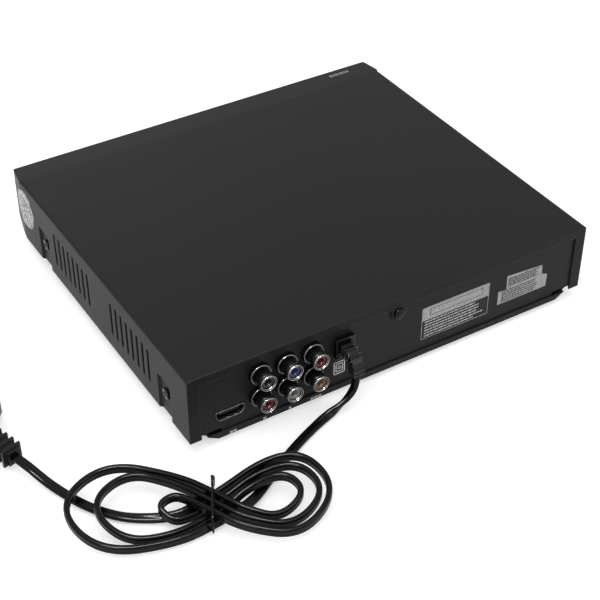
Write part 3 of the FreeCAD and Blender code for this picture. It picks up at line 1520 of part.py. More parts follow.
def key_switches():
    keys = []
    for spot in range(4):
        x = button_x(spot)
        base = block("switch_base", ("%s - switch_width / 2" % x, "%s + switch_width / 2" % x),
                     ("switch_front", "board_front"),
                     ("button_z - switch_width / 2", "button_z + switch_width / 2"))
        stem = rod("switch_stem", (x, "switch_tip", "button_z"), "switch_radius", "switch_reach + 1", "y")
        keys.append(fuse("switch", [base, stem]))
    return node(group("key_switches", keys))


def button(label, spot):
    """A cap through its hole, a lip behind the wall and a plunger to its switch."""
    made = body(label)
    x = button_x(spot)

    def upright(wide, tall):
        return rect("%s - (%s) / 2" % (x, wide), "button_z - (%s) / 2" % tall, "%s + (%s) / 2" % (x, wide),
                    "button_z + (%s) / 2" % tall)
    pad(made, "front", "front_face", "lip_front - front_face", [upright("button_width", "button_height")])
    round_edges(made, "button_height / 6", lambda edge, box: edge.YLength > 1)
    pad(made, "front", "lip_front", "button_lip", [upright("button_width + 2", "button_height + 2")])
    pad(made, "front", "lip_front", "switch_tip - plunger_gap - button_travel - lip_front",
        [upright("plunger", "plunger")])
    return made


def display_module():
    x, high = "window_x", "front_board_high - 0.4"
    made = block("display_module", ("%s - display_width / 2" % x, "%s + display_width / 2" % x),
                 ("board_front - display_depth", "board_front"), (high + " - display_height", high))
    return node(made)


def display_window():
    """A clear pane that fills its opening and leans with the bezel's face."""
    made = body("display_window")
    lean = "face_lean / (cover_height - brow_cut_z - chin_height)"
    low, high = "window_z - window_height / 2 + window_gap", "window_z + window_height / 2 - window_gap"
    faces = ["front_face + (%s - cover_low - chin_height) * %s" % (z, lean) for z in (low, high)]
    pane = [(faces[0], low), (faces[0] + " + window_gauge", low), (faces[1] + " + window_gauge", high),
            (faces[1], high)]
    pad(made, "side", "window_x - window_width / 2 + window_gap", "window_width - 2 * window_gap", [pane])
    return made


def usb_socket():
    made = body("usb_socket")

    def section(shrink):
        return rect("usb_x - usb_width / 2 + %s" % shrink, "usb_z - usb_height / 2 + %s" % shrink,
                    "usb_x + usb_width / 2 - %s" % shrink, "usb_z + usb_height / 2 - %s" % shrink)
    front = "front_face + usb_setback"
    pad(made, "front", front, "board_front - (%s)" % front, [section("0")])
    pocket(made, "front", front + " - 1", "board_front - (%s)" % front, [section("usb_wall")])
    tongue = rect("usb_x - usb_width / 3", "usb_z + usb_wall", "usb_x + usb_width / 3",
                  "usb_z + usb_wall + usb_tongue")
    pad(made, "front", front + " + 1", "board_front - (%s) - 1" % front, [tongue])
    return made


# Fasteners and leads inside

def inner_screws():
    """Screws with six-sided heads: eight hold the boards and four the loader."""
    seats = [(x, y, "board_high", "inner_screw_length") for x, y in board_holes()]
    seats += [(x, y, "loader_deck", "loader_floor + loader_boss - 0.3")
              for x in ("lug_left", "lug_right") for y in ("lug_front", "lug_back")]
    pieces = []
    for x, y, seat, length in seats:
        head = prism("inner_head", (x, y, seat), "inner_head_radius", "inner_head_height")
        shank = prism("inner_shank", (x, y, "%s - (%s)" % (seat, length)), "inner_screw_radius", length)
        pieces.append(fuse("inner_screw", [head, shank]))
    return node(group("inner_screws", pieces))


def front_ribbon():
    """A flat cable from the main board, over the power board, to the back of the front board."""
    made = body("front_ribbon")
    start, arrive = "main_front + 2", "board_front + board_gauge"
    foot, high, low = "board_high", "board_high + 25", "front_board_low + 6"
    band = [(start, foot), (start, high), (arrive + " + 1", high), (arrive + " + 1", low + " + 0.4"),
            (arrive, low + " + 0.4"), (arrive, low), (arrive + " + 1.4", low),
            (arrive + " + 1.4", high + " - 0.4"),
            (start + " - 0.4", high + " - 0.4"), (start + " - 0.4", foot)]
    pad(made, "side", "board_right - 25", "12", [band])
    return made


# Mains lead

def tail_shape():
    """A flat tail that turns down on a quarter circle, with ribs that grow smaller along it."""
    width, thick = size("tail_width"), size("tail_thickness")
    run, bend, drop = size("tail_run"), size("tail_bend"), size("tail_drop")
    corner = FreeCAD.Vector(-width / 2, run, -thick / 2)
    section = Part.Face(Part.makePolygon([corner, corner + FreeCAD.Vector(width, 0, 0),
                                          corner + FreeCAD.Vector(width, 0, thick),
                                          corner + FreeCAD.Vector(0, 0, thick), corner]))
    pieces = [section.revolve(FreeCAD.Vector(0, run, -bend), FreeCAD.Vector(1, 0, 0), -90),
              Part.makeBox(width, thick, drop, FreeCAD.Vector(-width / 2, run + bend - thick / 2,
                                                              -bend - drop))]
    count = int(size("tail_rib_count"))
    total = run + bend * math.pi / 2 + drop
    for rib in range(count):
        pieces.append(tail_rib((rib + 0.6) / count * total, 1 - 0.5 * rib / (count - 1)))
    start = Part.makeBox(width, run, thick, FreeCAD.Vector(-width / 2, 0, -thick / 2))
    return start.fuse(pieces).removeSplitter()


def tail_rib(along, scale):
    """A ring round the tail, square to it, at a distance along its middle line."""
    run, bend = size("tail_run"), size("tail_bend")
    turn = min(max((along - run) / bend, 0.0), math.pi / 2)
    straight = min(along, run)
    beyond = max(along - run - bend * math.pi / 2, 0.0)
    middle = FreeCAD.Vector(0, straight + bend * math.sin(turn), -bend * (1 - math.cos(turn)) - beyond)
    wide = size("tail_width") + 2 * scale * size("tail_rib_reach")
    tall = size("tail_thickness") + 2 * scale * size("tail_rib_reach")
    thick = size("tail_rib")
    ring = Part.makeBox(wide, thick, tall, FreeCAD.Vector(-wide / 2, -thick / 2, -tall / 2))
    ring.rotate(FreeCAD.Vector(0, 0, 0), FreeCAD.Vector(1, 0, 0), -math.degrees(turn))
    ring.translate(middle)
    return ring


def strain_relief():
    across = ("relief_x - relief_width / 2", "relief_x + relief_width / 2")
    up = ("relief_low", "relief_low + relief_height")
    narrow = ("%s + relief_neck" % across[0], "%s - relief_neck" % across[1])
    short = ("%s + relief_neck" % up[0], "%s - relief_neck" % up[1])
    outside = block("relief_block", across, ("panel_face", "relief_face"), up)
    neck = block("relief_neck_block", narrow, ("panel_back - 1", "panel_face + 1"), short)
    inside = block("relief_grip_block", across, ("panel_back - relief_grip", "panel_back"), up)
    tail = doc.addObject("Part::Feature", "relief_tail")
    tail.Shape = tail_shape()
    bind(tail, {"Placement.Base.x": "relief_x", "Placement.Base.y": "relief_face",
                "Placement.Base.z": "relief_z"})
    return node(fuse("strain_relief", [outside, neck, inside, tail]))


def tail_end():
    face = (size("bezel_depth") + size("case_depth") - size("jack_reach")) / 2 - size("cover_gauge")
    middle = size("relief_low") + size("relief_height") / 2
    return FreeCAD.Vector(size("relief_x"), face + size("relief_reach")
                          + size("tail_run") + size("tail_bend"),
                          middle - size("tail_bend") - size("tail_drop"))


def middle_arc(start, corner, finish):
    """The arc that touches both lines of a corner at two points equally far from it."""
    near, chord = (corner - start).normalize(), (finish - start).normalize()
    weight = near.dot(chord)
    middle = (start + corner * (2 * weight) + finish) * (1 / (2 + 2 * weight))
    return Part.Arc(start, middle, finish).toShape()


def routed(points):
    """Straight runs with tangent arcs, and the least radius among the arcs."""
    edges, reached, tightest = [], points[0], 1e9
    for before, corner, after in zip(points, points[1:], points[2:]):
        arriving, leaving = (corner - before), (after - corner)
        touch = 0.45 * min(arriving.Length, leaving.Length)
        turn = arriving.getAngle(leaving)
        tightest = min(tightest, touch / math.tan(turn / 2))
        start = corner - arriving.normalize() * touch
        finish = corner + leaving.normalize() * touch
        edges.append(Part.LineSegment(reached, start).toShape())
        edges.append(middle_arc(start, corner, finish))
        reached = finish
    edges.append(Part.LineSegment(reached, points[-1]).toShape())
    return Part.Wire(edges), tightest


def swept(path, section):
    shell = Part.BRepOffsetAPI.MakePipeShell(path)
    shell.add(section)
    shell.build()
    shell.makeSolid()
    return shell.shape()


def section_wire(start, out, radius, sides=6):
    """A ring with flat sides, square to the cord where it starts, whose corners lie at the radius."""
    side = out.cross(FreeCAD.Vector(0, 0, 1) if abs(out.z) < 0.9 else FreeCAD.Vector(0, 1, 0)).normalize()
    rise = side.cross(out)
    angles = [corner * 2 * math.pi / sides for corner in range(sides)]
    corners = [start + side * (radius * math.cos(angle))
               + rise * (radius * math.sin(angle)) for angle in angles]
    return Part.makePolygon(corners + corners[:1])


def cord(label, points, radius):
    """A cord with flat sides along straight runs and tangent arcs."""
    path, tightest = routed(points)
    out = (points[1] - points[0]).normalize()
    section = section_wire(points[0], out, radius)
    shape = swept(path, section)
    share = shape.Volume / (Part.Face(section).Area * path.Length)
    print(label, "length %.1f, least radius %.1f, volume share %.4f" % (path.Length, tightest, share))
    return shape


def from_hank(across, up, height):
    """A point of the hank's own frame, in the player's."""
    turn = math.radians(size("hank_turn"))
    x = size("hank_x") + across * math.cos(turn) - up * math.sin(turn)
    y = size("hank_y") + across * math.sin(turn) + up * math.cos(turn)
    return FreeCAD.Vector(x, y, height)


def strand(number, slope):
    """Where one of the parallel strands crosses the hank's waist; slope is 1 or -1."""
    angle = math.radians(size("strand_angle"))
    places = (1.5 - number) if slope > 0 else (1 - number)
    offset = places * size("strand_pitch")
    return offset * math.sin(angle), -slope * offset * math.cos(angle)


def on_strand(number, slope, along, height):
    """A point on a strand, a distance along it from the waist towards the hank's right."""
    angle = math.radians(size("strand_angle"))
    across, up = strand(number, slope)
    return FreeCAD.Vector(across + along * math.cos(angle), up + slope * along * math.sin(angle), height)


def hank_points():
    """Points of the figure of eight with their directions, in the hank's own frame."""
    angle = math.radians(size("strand_angle"))
    left_down = FreeCAD.Vector(-math.cos(angle), -math.sin(angle), 0)
    right_down = FreeCAD.Vector(math.cos(angle), -math.sin(angle), 0)
    right, left, up = FreeCAD.Vector(1, 0, 0), FreeCAD.Vector(-1, 0, 0), FreeCAD.Vector(0, 1, 0)
    low, high = size("waist_low"), size("waist_high")
    loose = size("loop_high")
    near = (21, 21, 9)
    points = [(on_strand(0, 1, size("hank_tail"), low), left_down)]
    for turn in range(3):
        points.append((on_strand(turn, 1, 0, low), left_down))
        points.append((on_strand(turn, 1, -near[turn], low), left_down))
        points += lobe("left", turn + 1, -1, (left, up, right))
        points.append((on_strand(turn, -1, -near[turn], loose), right_down))
        points.append((on_strand(turn, -1, 0, high), right_down))
        points.append((on_strand(turn, -1, 14 + 3 * turn, loose), right_down))
        points += lobe("right", turn + 1, 1, (right, up, left))
        points.append((on_strand(turn + 1, 1, 18.5 + 8 * turn, loose), left_down))
        points.append((on_strand(turn + 1, 1, 6, low), left_down))
    points.append((on_strand(3, 1, 0, low), left_down))
    points.append((on_strand(3, 1, -size("hank_tail"), low), left_down))
    return points


def lobe(side, number, way, ways):
    """The lower shoulder, the far end and the upper shoulder of one loop."""
    reach, half, shift = [size("%s_%s_%d" % (side, word, number)) for word in ("reach", "half", "shift")]
    upper = 0.78 if way > 0 else math.sqrt(0.5)
    spots = ((way * reach * math.sqrt(0.5), shift - half, size("loop_low")),
             (way * reach, shift, size("loop_end")), (way * reach * upper, shift + half, size("loop_high")))
    return [(FreeCAD.Vector(*spot), aim) for spot, aim in zip(spots, ways)]


def biarc(start, out, finish, arrive):
    """Two arcs that leave one point and reach the next in the given directions."""
    across, both = finish - start, out + arrive
    spread = 2 * (1 - out.dot(arrive))
    if across.cross(out).Length < 1e-6:
        return [Part.LineSegment(start, finish).toShape()]
    if spread < 1e-9:
        reach = across.dot(across) / (4 * across.dot(out))
    else:
        reach = (-across.dot(both) + math.sqrt(across.dot(both) ** 2
                                               + 2 * spread * across.dot(across) / 2)) / spread
    first, second = start + out * reach, finish - arrive * reach
    middle = (first + second) * 0.5
    return [middle_arc(start, first, middle), middle_arc(middle, second, finish)]


def hank_shape():
    """One unbroken cord through all the loops, with flat sides."""
    points = hank_points()
    edges = []
    for (start, out), (finish, arrive) in zip(points, points[1:]):
        edges += biarc(start, out, finish, arrive)
    path = Part.Wire(edges)
    section = section_wire(points[0][0], points[0][1], size("cord_radius"))
    shape = swept(path, section)
    radii = [edge.Curve.Radius for edge in edges if hasattr(edge.Curve, "Radius")]
    share = shape.Volume / (Part.Face(section).Area * path.Length)
    print("cord_hank length %.1f, least radius %.1f, volume share %.4f, least gap %.2f" % (
        path.Length, min(radii), share, self_gap(path)))
    return shape


def self_gap(path):
    """The least space between parts of the cord that are more than 16 mm apart along it."""
    points = path.discretize(Distance=1.0)
    apart = min((points[i] - points[j]).Length for i in range(len(points)) for j in range(i + 16,
                                                                                          len(points)))
    return apart - 2 * size("cord_radius")


def cord_hank():
    made = node(doc.addObject("Part::Feature", "cord_hank"))
    made.Shape = hank_shape()
    on_hank(made)


def on_hank(made):
    """Set down a piece made in the hank's own frame."""
    made.Placement = FreeCAD.Placement(FreeCAD.Vector(0, 0, 0), FreeCAD.Rotation(FreeCAD.Vector(0, 0, 1), 1))
    bind(made, {"Placement.Base.x": "hank_x", "Placement.Base.y": "hank_y",
                "Placement.Rotation.Angle": "hank_turn"})


def power_cord():
    last = on_strand(0, 1, size("hank_tail"), size("waist_low"))
    before = on_strand(0, 1, size("hank_tail") + 12, size("waist_low"))
    route = [(31, 107.3, 13.4), (34.5, 107.4, 7.6), (41.5, 107.9, 3.8), (51.1, 109.4, 1.85),
             (67.6, 116.4, 1.8),
             (86.5, 126.6, 1.8)]
    points = [tail_end()] + [FreeCAD.Vector(*spot) for spot in route] + [from_hank(*before), from_hank(*last)]
    solid("power_cord", cord("power_cord", points, size("cord_radius")))


def plug_lead():
    first = on_strand(3, 1, -size("hank_tail"), size("waist_low"))
    after = on_strand(3, 1, -size("hank_tail") - 9, size("waist_low"))
    route = [(146.8, 123.5, 1.85), (157.5, 116.0, 1.8), (167.2, 102.9, 1.8), (173.4, 88.2, 1.9),
             (177.1, 79.2, 3.3)]
    turn = math.radians(size("plug_turn"))
    finish = FreeCAD.Vector(size("plug_x"), size("plug_y"), size("plug_thickness") / 2)
    before = finish + FreeCAD.Vector(math.sin(turn), -math.cos(turn), 0) * 9
    points = [from_hank(*first), from_hank(*after)] + [FreeCAD.Vector(*spot) for spot in route] + [before,
                                                                                                   finish]
    solid("plug_lead", cord("plug_lead", points, size("cord_radius")))


def mains_wires():
    pieces = []
    for shift in (0, 3):
        route = [(29.5, 88.4, 28.8), (29.5, 83.8, 28.8), (34.6, 77, 27.8), (35.2, 61, 25), (35.6, 34, 24.2),
                 (39 + shift / 4, 8.5, 24), (45, -2 + shift / 3, 20.3), (45, -2 + shift / 3, 12.1)]
        points = [FreeCAD.Vector(x + shift, y, z) for x, y, z in route]
        pieces.append(cord("mains_wire", points, size("wire_radius")))
    solid("mains_wires", Part.Compound(pieces))


def tie_outline(grow):
    """The tie's line round the waist with its corners cut, moved out by grow."""
    half, low, high, corner = [size("tie_" + word) for word in ("half", "low", "high", "corner")]
    half, low, high = half + grow, low - grow, high + grow
    spots = [(-half, low + corner), (-half + corner, low), (half - corner, low), (half, low + corner),
             (half, high - corner), (half - corner, high), (-half + corner, high), (-half, high - corner)]
    points = [FreeCAD.Vector(-size("tie_radius"), across, up) for across, up in spots]
    return Part.Face(Part.makePolygon(points + points[:1]))


def cord_tie():
    """A narrow band round the hank's waist, with its two ends standing out together."""
    radius = size("tie_radius")
    band = tie_outline(radius).cut(tie_outline(-radius)).extrude(FreeCAD.Vector(2 * radius, 0, 0))
    ends = []
    for aside in (-1, 1):
        end = Part.makeBox(radius, size("tie_end"), radius, FreeCAD.Vector(-radius / 2, 0, 0))
        end.rotate(FreeCAD.Vector(0, 0, 0), FreeCAD.Vector(0, 0, 1), 12 * aside)
        end.translate(FreeCAD.Vector(aside * radius / 2, size("tie_half"),
                                     (size("tie_low") + size("tie_high")) / 2))
        ends.append(end)
    made = node(doc.addObject("Part::Feature", "cord_tie"))
    made.Shape = band.fuse(ends)
    on_hank(made)


def at_plug(made):
    """Set down a piece made along the plug's own axis."""
    made.Placement = FreeCAD.Placement(FreeCAD.Vector(0, 0, 0), FreeCAD.Rotation(FreeCAD.Vector(0, 0, 1), 1))
    bind(made, {"Placement.Base.x": "plug_x", "Placement.Base.y": "plug_y",
                "Placement.Rotation.Angle": "plug_turn"})


def plug_body():
    made = body("plug_body")
    face = "neck_length + plug_length"
    shell = [("neck_width / 2", "neck_length"), ("plug_breadth / 2", "neck_length + plug_shoulder"),
             ("plug_breadth / 2", "%s - plug_shoulder / 2" % face), ("plug_face_breadth / 2", face)]
    pad(made, "top", "plug_round", "plug_thickness - 2 * plug_round", [mirrored(shell)])
    pad(made, "top", "plug_thickness - plug_round", "plug_round", [mirrored(shell)], taper="-35")
    pad(made, "top", "plug_round", "plug_round", [mirrored(shell)], back=True, taper="-35")
    neck = [("neck_end_width / 2", "0"), ("neck_width / 2", "neck_length + 1")]
    pad(made, "top", "(plug_thickness - neck_thickness) / 2", "neck_thickness", [mirrored(neck)])
    rib = rect("-neck_width / 2 - neck_rib_reach / 2", "neck_rib * 1.5",
               "neck_width / 2 + neck_rib_reach / 2",
               "neck_rib * 2.5")
    first = pad(made, "top", "(plug_thickness - neck_thickness) / 2 - neck_rib_reach",
                "neck_thickness + 2 * neck_rib_reach", [rib])
    repeat(made, [first], "Y_Axis", "neck_length - 4 * neck_rib", "neck_rib_count")
    at_plug(made)


def plug_pins():
    pins = [rod("plug_pin", ("%s pin_spread / 2" % way, "neck_length + plug_length", "plug_thickness / 2"),
                "pin_radius", "pin_length", "y") for way in ("-", "")]
    at_plug(node(group("plug_pins", pins)))


# The whole player

def check():
    """No feature may have failed, every cut must have removed material, and every piece is valid."""
    doc.recompute()
    for item in doc.Objects:
        if "Invalid" in item.State or "Error" in item.State:
            raise ValueError("%s failed: %s" % (item.Name, item.State))
    for feature in CUTS:
        before = feature.BaseFeature.Shape.Volume
        if before - feature.Shape.Volume < 0.001:
            raise ValueError("%s of %s removes nothing" % (feature.Name, feature.getParent().Label))
    for item in NODES:
        if item.Shape.isNull() or not item.Shape.isValid():
            raise ValueError("%s has no valid shape" % item.Label)


def player():
    for make in (top_cover, chassis_pan, rear_panel, front_bezel, feet, cover_screws):
        make()
    for make in (rca_housing, rca_shells, rca_inserts, hdmi_socket):
        make()
    board("main_board", "main_front", "main_back")
    board("power_board", "power_front", "power_back")
    for make in (main_chips, transformer, capacitors, inner_screws):
        make()
    for make in (loader_frame, disc_tray, tray_door, tray_gear, loading_motor):
        make()
    driven, driver = belt_gear(), motor_pulley()
    doc.recompute()
    drive_belt(driven, driver)
    for make in (lift_frame, damper_grommets, traverse_deck, spindle_motor, turntable, guide_rods):
        make()
    for make in (pickup_sled, pickup_lens, sled_motor, lead_screw, cam_slider, clamper_bridge, clamper):
        make()
    for make in (front_board, key_switches, display_module, display_window, usb_socket, front_ribbon):
        make()
    for spot, label in enumerate(("power_button", "open_button", "play_button", "stop_button")):
        button(label, spot)
    for make in (strain_relief, power_cord, cord_hank, plug_lead, cord_tie, plug_body, plug_pins,
                 mains_wires):
        make()


fill_sheet()
player()
check()
os.makedirs("parts", exist_ok=True)
for item in NODES:
    item.Shape.exportStep("parts/%s.step" % item.Label)
print(len(NODES), "pieces")
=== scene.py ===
import math

import bmesh
import bpy
import numpy as np
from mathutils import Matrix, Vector


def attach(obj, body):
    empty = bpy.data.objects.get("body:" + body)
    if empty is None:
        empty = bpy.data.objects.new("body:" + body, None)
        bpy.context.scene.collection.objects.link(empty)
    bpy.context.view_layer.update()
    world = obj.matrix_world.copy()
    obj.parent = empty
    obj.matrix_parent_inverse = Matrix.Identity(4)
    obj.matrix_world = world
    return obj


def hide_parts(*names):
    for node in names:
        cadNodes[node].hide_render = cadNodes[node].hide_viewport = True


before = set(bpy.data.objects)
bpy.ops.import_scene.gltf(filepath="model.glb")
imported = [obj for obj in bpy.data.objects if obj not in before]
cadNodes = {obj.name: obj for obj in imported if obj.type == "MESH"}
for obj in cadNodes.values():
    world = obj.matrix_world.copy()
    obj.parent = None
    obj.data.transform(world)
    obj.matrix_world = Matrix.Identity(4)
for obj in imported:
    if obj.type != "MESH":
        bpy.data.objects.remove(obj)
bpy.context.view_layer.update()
print("frame: %d CAD nodes loaded" % len(cadNodes))


# Camera, as the photograph was taken: from behind, above and to the player's right

viewpoint = {
    "place": (0.31147, 0.51444, 0.45168),
    "turn": (51.3896, 0.5134, 149.1585),   # degrees about X, Y and Z
    "lens": 85.104,
    "shift": (0.0358, 0.01635),
    "nearest": 0.01,
}


def addObject(name, data):
    item = bpy.data.objects.new(name, data)
    bpy.context.scene.collection.objects.link(item)
    return item


def addCamera(view):
    data = bpy.data.cameras.new("camera")
    data.lens = view["lens"]
    data.shift_x, data.shift_y = view["shift"]
    data.clip_start = view["nearest"]
    camera = addObject("camera", data)
    camera.location = view["place"]
    camera.rotation_euler = [math.radians(angle) for angle in view["turn"]]
    bpy.context.scene.camera = camera


addCamera(viewpoint)
print("camera placed")


# Meshes worked out as grids

# Points run round each row, one row after the other. A face joins a point, the next one in its
# row, and the two of the next row. The last row joins the first, or both are capped, or open.
def tubeFaces(rows, columns, ends="capped", copies=1):
    lasting = rows if ends == "ring" else rows - 1
    r, c = np.meshgrid(np.arange(lasting), np.arange(columns), indexing="ij")
    nextR, nextC = (r + 1) % rows, (c + 1) % columns
    corners = [r * columns + c, r * columns + nextC, nextR * columns + nextC, nextR * columns + c]
    cells = np.stack(corners, -1).reshape(-1, 4)
    faces = []
    for first in range(0, copies * rows * columns, rows * columns):
        faces += (cells + first).tolist()
        if ends == "capped":
            last = first + (rows - 1) * columns
            faces += [list(range(first, first + columns)), list(range(last, last + columns))]
    return faces


def addMesh(name, points, faces, finish, smooth=True, uv=None):
    mesh = bpy.data.meshes.new(name)
    mesh.from_pydata(np.asarray(points, float).reshape(-1, 3).tolist(), [], faces)
    turned = bmesh.new()   # turns every face outwards
    turned.from_mesh(mesh)
    bmesh.ops.recalc_face_normals(turned, faces=turned.faces)
    turned.to_mesh(mesh)
    turned.free()
    mesh.shade_smooth() if smooth else mesh.shade_flat()
    if uv is not None:
        corner = np.empty(len(mesh.loops), np.int32)
        mesh.loops.foreach_get("vertex_index", corner)
        layer = mesh.uv_layers.new(name="surface")
        layer.data.foreach_set("uv", np.asarray(uv, float).reshape(-1, 2)[corner].ravel())
    mesh.materials.append(made[finish])
    piece = addObject(name, mesh)
    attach(piece, "player")
    return piece


# A turned piece on a line along Y through each centre, from a profile of (radius, along):
# x = centre + radius cos a, y = along, z = centre + radius sin a
def addLathed(name, profile, centres, finish, ends="capped", turns=48):
    profile, centres = np.asarray(profile, float), np.asarray(centres, float)
    angle = np.linspace(0, math.tau, turns, endpoint=False)
    radius, along = profile[:, 0][:, None], profile[:, 1][:, None]
    turned = np.stack([radius * np.cos(angle), along + 0 * angle, radius * np.sin(angle)], -1)
    shift = np.stack([centres[:, 0], 0 * centres[:, 0], centres[:, 1]], -1)
    points = turned[None] + shift[:, None, None]
    return addMesh(name, points, tubeFaces(len(profile), turns, ends, len(centres)), finish)


# Boxes on the plane y = face, each from (left, low) to (right, high) and depth deep; lying ones
# are on the plane z = face, with low and high along Y
def addPlates(name, rectangles, face, depth, finish, lying=False):
    box = np.asarray(rectangles, float)
    left, low, right, high = box.T
    near, far = np.full(len(box), face), np.full(len(box), face + depth)
    corners = [(x, y, z) for y in (near, far)
               for x, z in ((left, low), (right, low), (right, high), (left, high))]
    points = np.stack([np.stack(corner, -1) for corner in corners], 1)
    if lying:
        points = points[..., [0, 2, 1]]
    sides = np.array([(0, 1, 2, 3), (7, 6, 5, 4), (4, 5, 1, 0), (5, 6, 2, 1), (6, 7, 3, 2),
                      (7, 4, 0, 3)])
    faces = (sides[None] + 8 * np.arange(len(box))[:, None, None]).reshape(-1, 4)
    return addMesh(name, points, faces.tolist(), finish, smooth=False)


# Closed outlines that face along Y, each (points, y), joined in turn
def addOutlines(name, outlines, finish, ends="capped"):
    points = np.stack([np.column_stack([line[:, 0], np.full(len(line), y), line[:, 1]])
                       for line, y in outlines])
    return addMesh(name, points, tubeFaces(*points.shape[:2], ends), finish, smooth=False)


# Effects that several finishes share, each a shader node group

effects = {
    "grainDetail": 3, "finer": 4.0, "lift": 0.5,
    "patchDetail": 4, "patchTwist": 0.6, "patchShare": 0.8,
    "scuffDetail": 6, "scuffStretch": (1, 7, 5), "scuffTurn": (0, 0, 0.5), "scuffFiner": 2.5,
    "scuffShare": 0.2,
    "maskFrom": 0.3, "maskSlope": 2.5,
    "edgeRays": 6, "edgeSlope": 5.0,
}


# Each value goes into its socket, as a link where it is another node's output; a colour gets an
# alpha of 1
def feed(tree, sockets, values):
    for label, value in values.items():
        if hasattr(value, "node"):
            tree.links.new(value, sockets[label])
        elif hasattr(value, "__len__"):
            sockets[label].default_value = (*value, 1)[:len(sockets[label].default_value)]
        else:
            sockets[label].default_value = value


def addNode(tree, kind, values, **settings):
    node = tree.nodes.new("ShaderNode" + kind)
    for word, setting in settings.items():
        setattr(node, word, setting)
    feed(tree, node.inputs, values)
    return node.outputs


def mathNode(tree, operation, first, second, clamp=False):
    return addNode(tree, "Math", {0: first, 1: second}, operation=operation, use_clamp=clamp)[0]


def noiseNode(tree, vector, scale, detail, twist=0.0):
    values = {"Vector": vector, "Scale": scale, "Detail": detail, "Distortion": twist}
    return addNode(tree, "TexNoise", values)["Fac"]


def mixColour(tree, factor, first, second):
    values = {"Factor": factor, "A": first, "B": second}
    return addNode(tree, "Mix", values, data_type="RGBA")["Result"]


def startGroup(name, inputs, outputs):
    group = bpy.data.node_groups.new(name, "ShaderNodeTree")
    for way, labels in (("INPUT", inputs), ("OUTPUT", outputs)):
        for label in labels:
            kind = "NodeSocketVector" if label in ("Vector", "Normal") else "NodeSocketFloat"
            group.interface.new_socket(label, in_out=way, socket_type=kind)
    given, result = group.nodes.new("NodeGroupInput"), group.nodes.new("NodeGroupOutput")
    return group, given.outputs, result.inputs


# Fine lumps of a moulded or powdered surface: (coarse noise + lift x finer noise) / (1 + lift)
def makeGrain():
    group, given, result = startGroup("surfaceGrain", ["Vector", "Scale"], ["Height", "Shade"])
    scales = [mathNode(group, "MULTIPLY", given["Scale"], factor)
              for factor in (1.0, effects["finer"])]
    coarse, fine = [noiseNode(group, given["Vector"], scale, effects["grainDetail"])
                    for scale in scales]
    total = mathNode(group, "ADD", coarse, mathNode(group, "MULTIPLY", fine, effects["lift"]))
    height = mathNode(group, "DIVIDE", total, 1 + effects["lift"])
    feed(group, result, {"Height": height, "Shade": coarse})
    return group


# Broad, soft patches where hands and cloths have been, with faint long scuffs:
# mask = slope x (share of patches + share of scuffs - from), kept between 0 and 1
def makeHandling():
    group, given, result = startGroup("handling", ["Vector", "Scale"], ["Mask"])
    broad = noiseNode(group, given["Vector"], given["Scale"], effects["patchDetail"],
                      effects["patchTwist"])
    stretched = addNode(group, "Mapping", {
        "Vector": given["Vector"], "Scale": effects["scuffStretch"],
        "Rotation": effects["scuffTurn"]})["Vector"]
    finer = mathNode(group, "MULTIPLY", given["Scale"], effects["scuffFiner"])
    scuff = noiseNode(group, stretched, finer, effects["scuffDetail"])
    broad = mathNode(group, "MULTIPLY", broad, effects["patchShare"])
    faint = mathNode(group, "MULTIPLY", scuff, effects["scuffShare"])
    above = mathNode(group, "SUBTRACT", mathNode(group, "ADD", broad, faint), effects["maskFrom"])
    mask = mathNode(group, "MULTIPLY", above, effects["maskSlope"], clamp=True)
    feed(group, result, {"Mask": mask})
    return group


# The rounded normal near an edge, and a mask that is 0 on flat faces and rises to 1 on the edge:
# mask = slope x (1 - rounded normal . flat normal)
def makeEdges():
    group, given, result = startGroup("roundedEdges", ["Radius"], ["Normal", "Mask"])
    rounded = addNode(group, "Bevel", {"Radius": given["Radius"]}, samples=effects["edgeRays"])[0]
    flat = addNode(group, "NewGeometry", {})["Normal"]
    agree = addNode(group, "VectorMath", {0: rounded, 1: flat}, operation="DOT_PRODUCT")["Value"]
    apart = mathNode(group, "SUBTRACT", 1.0, agree)
    wornAndGlinting = mathNode(group, "MULTIPLY", apart, effects["edgeSlope"], clamp=True)
    feed(group, result, {"Normal": rounded, "Mask": wornAndGlinting})
    return group


surfaceGrain = makeGrain()
handling = makeHandling()
roundedEdges = makeEdges()


# Finishes: what each one leaves out is taken from the usual look

usualLook = {
    "grain": 900.0, "shade": 0.75, "mottle": 1.5,   # scale of the lumps, their depth and contrast
    "patches": 18.0,                                # scale of the marks of handling
    # the edges lighten as wear and as painted highlights along them
    "edge": 0.0004, "wearAndGlint": 0.25,                   # radius of the edges, and how far they lighten
    "bump": 0.2, "relief": 0.0001,
    "metallic": 0.0, "specular": 0.5, "coat": 0.0, "coatRoughness": 0.1,
}


# The same amount of red, green and blue
def grey(value):
    return value, value, value
